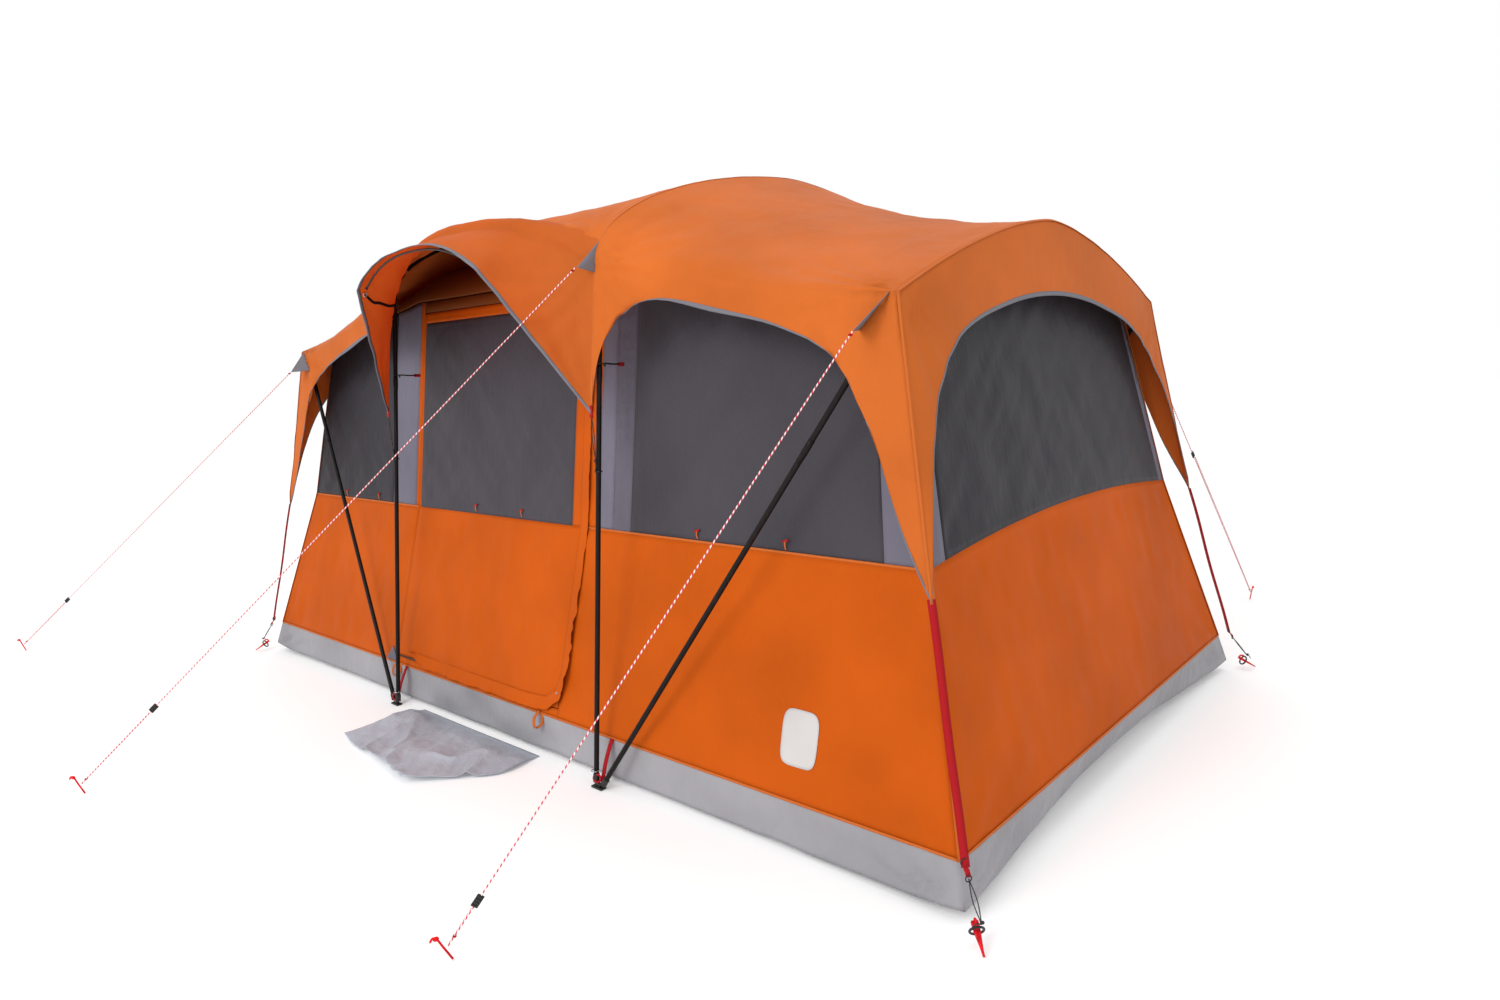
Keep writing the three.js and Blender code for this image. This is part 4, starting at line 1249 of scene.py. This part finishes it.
def add_door():
    at = long_wall(-1)
    left, right = DOOR_LEFT, DOOR_RIGHT - DOOR_GAP
    low = lambda *edges: lower_cloth(at, *edges, step=0.015)
    net_left, net_right, net_top = DOOR_NET
    top = DOOR_TOP - DOOR_GAP
    orange = [
        low(left, right, DOOR_BOTTOM + DOOR_GAP, SILL), low(left, net_left, SILL, top),
        low(net_right, right, SILL, top), low(net_left, net_right, net_top, top),
    ]
    blended(cloth_of("door", orange, "wall", body=None), ["door_panel"])
    grid = netting(at, net_left, net_right, SILL, net_top, step=0.018)
    blended(cloth_of("door_net", [grid], "window", body=None))
    cloth_of("storm_flap", [storm_flap(at)], "wall")
    line = wall_line(at, ZIP_LINE) + vec(0, -0.002, 0)
    solid("door_zip_teeth", ribbon(line, (1, 0, 1), 0.007, 0.003), "plastic", "black_plastic")
    add_slider()
    add_covers()


def storm_flap(at):
    """The ruffled strip of cloth that covers the zip."""
    step = 0.012
    edge = resampled([(a, z, 0) for a, z in FLAP_LINE], step)
    across = unit(np.gradient(edge, axis=0)[:, 1::-1] * vec(-1, 1))
    w = np.linspace(0, 1, 8)
    t = np.linspace(0, 1, len(edge))
    width = 0.05 * smoothstep(0, 0.04, t) * smoothstep(1.0, 0.95, t)
    along = edge[:, :1] + across[:, :1] * (width[:, None] * w - 0.03)
    height = edge[:, 1:2] + across[:, 1:2] * (width[:, None] * w - 0.03)
    steps = np.arange(len(edge)) * step
    gather = np.stack([steps, 0 * steps, 0 * steps], 1)
    ruffle = billow(gather, (0.05, 1, 1), 141) + 0.5 * billow(gather, (0.017, 1, 1), 146)
    calm = 0.3 + 0.9 * smoothstep(0.8, 0.3, edge[:, 1])
    out = 0.005 + (np.clip(0.45 + 0.5 * ruffle, 0, 1.4) * calm)[:, None] * w[None] ** 1.5 * 0.024
    return at(along, height) + vec(0, -1, 0.2) * out[..., None]


def add_slider():
    low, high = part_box("door_zip_slider")
    middle = (np.array(low) + np.array(high)) / 2
    up = unit(vec(0, LOWER_LEAN_Y, 1))
    out = np.cross(vec(1, 0, 0), up)
    axes = (vec(1, 0, 0), out, up)
    body = block(middle + up * 0.008, (0.0115, 0.006, 0.014), axes)
    bridge = ring(middle + up * 0.008 + out * 0.003, (1, 0, 0), 0.004, 0.0013)
    pull = block(middle - up * 0.008 + out * 0.001, (0.006, 0.0025, 0.018), axes)
    made = object_of("zip_slider", [body, pull, bridge], "steel", False, 0.001)
    piece(made, "door_zip", ["door_zip_slider"])


def cover_grid(place, near, far, high=COVER_HIGH):
    return wrinkled(panel(place, near, far, COVER_LOW, high, step=0.03), lambda p: 0.6 * net_height(p + 3.0))


def add_covers():
    """Privacy covers that hang just inside each window."""
    place_long = lambda face: lambda x, z: np.stack([x, face * (wall_y(z) - COVER_DEPTH), z], -1)
    place_end = lambda side: lambda y, z: np.stack([side * (wall_x(z) - COVER_DEPTH), y, z], -1)
    grid = cover_grid(place_long(-1), -0.77, 0.32, 1.765)
    cloth_of("door_cover", [grid], "cover", ["door_window_cover"], "door_cover")
    for face_name, face in FACES:
        for side_name, side in SIDES:
            near = 1.115 if face < 0 and side < 0 else 0.7
            outer = (lambda z: 0.15 - wall_x(z)) if side < 0 else (lambda z: wall_x(z) - 0.15)
            node = f"window_cover_{face_name}_{side_name}"
            grid = cover_grid(place_long(face), side * near, outer)
            cloth_of(f"cover_{face_name}_{side_name}", [grid], "cover", [node], node)
    for name, side in SIDES:
        edges = (lambda z: 0.13 - wall_y(z)), (lambda z: wall_y(z) - 0.13)
        node = f"window_cover_end_{name}"
        grid = cover_grid(place_end(side), *edges)
        cloth_of(f"cover_end_{name}", [grid], "cover", [node], node)


def add_mat():
    """The crumpled mat in front of the sill, sewn to the floor along its inner edge."""
    u, v = np.linspace(0, 1, 110), np.linspace(0, 1, 60)
    a, b, c, d = (-0.56, -1.238, 0), (0.325, -1.238, 0), (-0.59, -1.6, 0), (0.1, -1.705, 0)
    back = catmull([a, (-0.2, -1.24, 0), b], len(u))
    front = catmull([c, (-0.42, -1.64, 0), (-0.2, -1.655, 0), d], len(u))
    left = catmull([a, (-0.53, -1.42, 0), c], len(v))
    right = catmull([b, (0.345, -1.42, 0), (0.24, -1.55, 0), d], len(v))
    grid = coons(u, v, back, front, left, right)
    flat = grid.reshape(-1, 3)
    q = np.stack([flat[:, 0] + 0.5 * flat[:, 1], flat[:, 1] - 0.4 * flat[:, 0], flat[:, 2]], 1)
    folds = 0.6 + 0.7 * billow(q, (0.16, 0.42, 1), 120) + 0.35 * billow(q, (0.05, 0.12, 1), 125)
    ridges = 1 - np.abs(billow(q, (0.22, 0.3, 1), 131))
    z = np.maximum(0.0, 0.016 * folds + 0.022 * np.maximum(ridges, 0) ** 3).reshape(grid.shape[:2])
    grid[..., 2] = 0.0016 + z * smoothstep(0, 0.25, v)[None]
    mat = Cloth("mat", [grid], "mat", (0, -1.45, -1)).thicken(0.0009)
    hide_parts("doormat")
    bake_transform(mat.object)


def add_port():
    """The triangular flap over the cable opening."""
    low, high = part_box("cable_port_flap")
    at = long_wall(-1)
    base, tip = float(low[2]), float(high[2])
    top, blunt = vec(-0.895, tip), 0.97
    v = np.linspace(0, 1, 12)[:, None]
    left, right = (mix(vec(x, base), top, v * blunt) for x in (-0.945, -0.845))
    u = np.linspace(0, 1, 12)[None, :, None]
    grid = mix(left[:, None], right[:, None], u)
    points = at(grid[..., 0], grid[..., 1]) + vec(0, -1, 0.27) * (0.004 + 0.003 * np.sin(np.pi * u))
    made = Cloth("port_flap", [points], "silver", INSIDE).thicken(0.0012)
    piece(made.object, "port_flap", ["cable_port_flap"])


# ---- straps, elastics, hooks and flaps ----


STRAP_WIDTH, STRAP_SHARE = 0.024, 0.79
HOOK_Z, CLIP_Z = 1.15, 1.53


def shock(name, path):
    made, _ = cord_object(name, path, SHOCK_R, "shock", SHOCK_PITCH, 8)
    return piece(made)


def add_corner_rigging():
    """At each corner: a strap with its buckle, two elastics, a flat peg and the ring round it."""
    for name, side, face in CORNERS:
        turn = vec(side, face, 1)
        tip, foot = CORNER_TIP * turn, CORNER_PEG * turn
        away = unit(vec(foot[0], foot[1], 0))
        hook = foot + away * 0.034 + vec(0, 0, 0.064)
        low = mix(tip, foot, STRAP_SHARE)
        across = unit(np.cross(foot - tip, vec(side, face, 0)))
        path = mix(tip, low, np.linspace(-0.02, 1, 40)[:, None])
        path += away * (0.002 * np.sin(np.linspace(0, 9, 40)))[:, None]
        eye = mix(low, hook, 0.2)
        loop = [low, mix(low, hook, 0.1) + away * 0.004, mix(low, hook, 0.18)]
        strap = [ribbon(path, across, STRAP_WIDTH, 0.0018), ribbon(catmull(loop, 12), across, 0.014, 0.003)]
        solid(f"strap_{name}", strap, "red", "red_webbing", [f"corner_strap_{name}"])
        bars = [ring(mix(tip, foot, 0.775), away, 0.012, 0.0018, 0.8), ring(eye, away, 0.009, 0.0017)]
        solid(f"strap_buckle_{name}", bars, "plastic", "black_plastic")
        for k, way in enumerate((-1, 1)):
            middle = mix(eye, hook, 0.5) + across * 0.006 * way
            shock(f"corner_elastic_{k}_{name}", catmull([eye, middle, hook], 14))
        bar = [hook, hook + across * 0.014 + vec(0, 0, 0.004), hook + across * 0.026 - vec(0, 0, 0.006)]
        ends = [knot(hook + vec(0, 0, 0.006), 0.008), tube(catmull(bar, 8), 0.0016, 8)]
        solid(f"elastic_knot_{name}", ends, "plastic", "black_plastic")
        diagonal = unit(vec(side, face, 0))
        head, point = foot + vec(0, 0, 0.052), foot + diagonal * 0.078 + vec(0, 0, 0.004)
        blade = mix(head, point, np.linspace(0, 1, 12)[:, None]) + vec(0, 0, 0.002)
        width = mix(0.034, 0.01, smoothstep(0.1, 1, np.linspace(0, 1, 12))) * 0.62
        wide = np.cross(diagonal, vec(0, 0, 1))
        shapes = [ribbon(blade, wide + vec(0, 0, way * 0.5), width, 0.003) for way in (-1, 1)]
        curl = [head, head + diagonal * 0.006 + vec(0, 0, 0.012), head + diagonal * 0.022 + vec(0, 0, 0.01)]
        shapes.append(tube(catmull(curl, 12), 0.0035, 10))
        solid(f"peg_{name}", shapes, "peg", "peg_red", [f"corner_peg_{name}"])
        loop = ring(mix(head, point, 0.25), unit(point - head), 0.019, 0.0034)
        solid(f"peg_ring_{name}", loop, "plastic", "black_plastic")


def s_hook(top, bottom, out):
    """A moulded hook: a bent bar with a curl round the tube."""
    path = [top, mix(top, bottom, 0.5) + out * 0.002, bottom, bottom + out * 0.012 - vec(0, 0, 0.008),
            bottom + out * 0.02 + vec(0, 0, 0.004)]
    return tube(catmull(path, 26), 0.0032, 10)


def add_pole_rigging(fly):
    """Elastics from the fly's middle tips to the uprights, clips from the inner tent, and foot ties."""
    for name, side, face in CORNERS:
        tip = MID_TIP * vec(side, face, 1)
        leg = lambda z: vec(side * MID_X, face * mix(FOOT_Y, MID_HALF, z / EAVE_Z), z)
        out = vec(0, face, 0)
        hook_at = leg(1.19) + out * 0.014
        for k, way in enumerate((-1, 1)):
            line = catmull([tip, mix(tip, hook_at, 0.5) + vec(way * 0.006, 0, 0), hook_at], 14)
            shock(f"tip_elastic_{k}_{name}", line)
        wall = vec(side * (MID_X - 0.01), face * (float(wall_y(1.52)) + 0.002), 1.52)
        pole = leg(CLIP_Z) - vec(0, face * 0.012, 0)
        shapes = [
            s_hook(hook_at, leg(HOOK_Z) + out * 0.013, vec(0, -face, 0)), knot(hook_at, 0.008),
            ring(leg(HOOK_Z), (0, 0, 1), 0.0125, 0.0024),
            s_hook(mix(wall, pole, 0.55), mix(wall, pole, 0.95), vec(side * 0.3, 0, 0)),
            ring(leg(CLIP_Z), (0, 0, 1), 0.0125, 0.0022),
        ]
        solid(f"hooks_{name}", shapes, "plastic", "black_plastic")
        band_top = vec(side * (MID_X + 0.02), face * (float(wall_y(BAND_TOP)) + 0.004), BAND_TOP)
        foot = vec(side * (MID_X + 0.022), face * (FOOT_Y - 0.012), 0.02)
        tie = catmull([band_top, mix(band_top, foot, 0.5) + out * 0.006, foot], 14)
        tabs = [
            ribbon(mix(wall, pole, np.linspace(0.44, 0.6, 5)[:, None]), (0, 0, 1), 0.014, 0.0022),
            ribbon(tie, (1, 0, 0), 0.02, 0.0022),
            ribbon([tip + vec(0, 0, 0.03), tip, tip - vec(0, 0, 0.012)], (1, 0, 0), 0.018, 0.0034),
        ]
        solid(f"tabs_{name}", tabs, "red", "red_webbing")
    for name, side in SIDES:
        elbow = vec(side * MID_X, -MID_HALF, EAVE_Z - 0.02)
        shoulder = vec(side * AWNING_HALF, -AWNING_REACH + 0.03, AWNING_SHOULDER - 0.02)
        under, normal = fly.follow(mix(elbow, shoulder, np.linspace(0.06, 1, 9)[:, None]))
        line = catmull(np.vstack([[elbow], under - normal * 0.014]), 40)
        solid(f"awning_stay_{name}", ribbon(line, (0, 0.3, 1), 0.012, 0.0016), "plastic", "black_plastic")
        clip = [ring(elbow, (0, 0.4, 1), 0.013, 0.003), ring(line[-1], (1, 0, 0), 0.008, 0.0022)]
        solid(f"awning_clip_{name}", clip, "steel", "pole_steel")


def fin(top, bottom, tip, bulge):
    """A triangular guy flap between two points on the fly and the point where the line is tied."""
    u, v = np.linspace(0, 1, 14), np.linspace(0, 1, 14)
    base = mix(top, bottom, u[:, None])
    grid = mix(base[:, None], tip[None, None], v[None, :, None] * 0.985)
    belly = np.sin(np.pi * u)[:, None] * np.sin(np.pi * v)[None]
    return grid + np.asarray(bulge) * belly[..., None]


def add_guy_flaps(fly):
    """Grey triangles that the guy lines are tied to, at the corners and over the middle hoops."""
    corner, middle = [], []
    for _, side, face in CORNERS:
        turn = vec(side, face, 1)
        (top, low), _ = fly.follow([vec(1.89, 1.03, 1.675) * turn, vec(1.79, 1.062, 1.585) * turn])
        corner.append(fin(top, low, vec(1.828, 1.128, 1.579) * turn, vec(side * 0.006, face * 0.004, 0)))
        (top, low), _ = fly.follow([vec(0.726, 1.072, 1.96) * turn, vec(0.728, 1.11, 1.842) * turn])
        middle.append(fin(top, low, vec(0.715, 1.176, 1.863) * turn, vec(side * 0.004, 0, 0)))
    for name, fins in (("corner_flaps", corner), ("middle_flaps", middle)):
        piece(Cloth(name, fins, "binding", INSIDE).thicken(0.0016).object)


def add_toggles():
    """Roll-up toggles on the sills and webbing loops at the doorway."""
    shapes, loops = [], []
    z = SILL + 0.039
    for x in (-1.6, -1.25, -0.35, 0.0, 1.05, 1.45):
        centre = vec(x, -float(wall_y(z)) - 0.006, z)
        bar = [centre - vec(0.013, 0, 0.003), centre, centre + vec(0.013, 0, 0.003)]
        shapes.append(tube(catmull(bar, 10), 0.0035, 10))
        tie = [centre + vec(0, 0, -0.03), centre + vec(0, -0.004, -0.01), centre + vec(0, 0.001, 0.004)]
        loops.append(ribbon(catmull(tie, 12), (1, 0, 0), 0.006, 0.0014))
    solid("sill_toggles", shapes, "red", "red_webbing")
    z = BAND_TOP + 0.01
    bends = ((0, 0, 0), (0, -0.03, -0.025), (0.012, -0.035, -0.06), (0.02, -0.01, -0.05), (0.014, 0, -0.01))
    for x in (-0.83, 0.3):
        start = vec(x, -float(wall_y(z)) - 0.003, z)
        loops.append(ribbon(catmull([start + vec(*bend) for bend in bends], 26), (1, 0.2, 0), 0.014, 0.0016))
    solid("webbing_loops", loops, "seam", "red_webbing")


def add_label():
    """A blank patch with rounded corners on the front wall."""
    x, z, half, tall, squareness = 1.598, 0.352, 0.07, 0.085, 0.45
    outline = []
    for k in range(48):
        t = 2 * math.pi * k / 48
        bend = lambda w, full: math.copysign(min(abs(w) ** squareness, 1.0), w) * full
        outline.append((x + bend(math.cos(t), half), z + bend(math.sin(t), tall)))
    rims = np.array(outline)
    grid = mix(rims.mean(0), rims[:, None], np.linspace(0.0, 1, 9)[None, :, None])
    grid = np.concatenate([grid, grid[:1]])
    points = long_wall(-1)(grid[..., 0], grid[..., 1])
    heights = lower_height(points.reshape(-1, 3)).reshape(points.shape[:2])
    points = points + unit(vec(0, -1, LOWER_LEAN_Y)) * (heights[..., None] + 0.0022)
    piece(Cloth("label_patch", [points], "patch", INSIDE).thicken(0.001).object)


# ---- the making ----

add_camera()
add_guys()
add_studio()
fly = add_fly()
add_hoops()
add_tub()
add_front_wall()
add_back_wall()
add_end_walls()
add_inner_roof()
add_wall_seams()
add_door()
add_mat()
add_port()
add_corner_rigging()
add_pole_rigging(fly)
add_guy_flaps(fly)
add_toggles()
add_label()
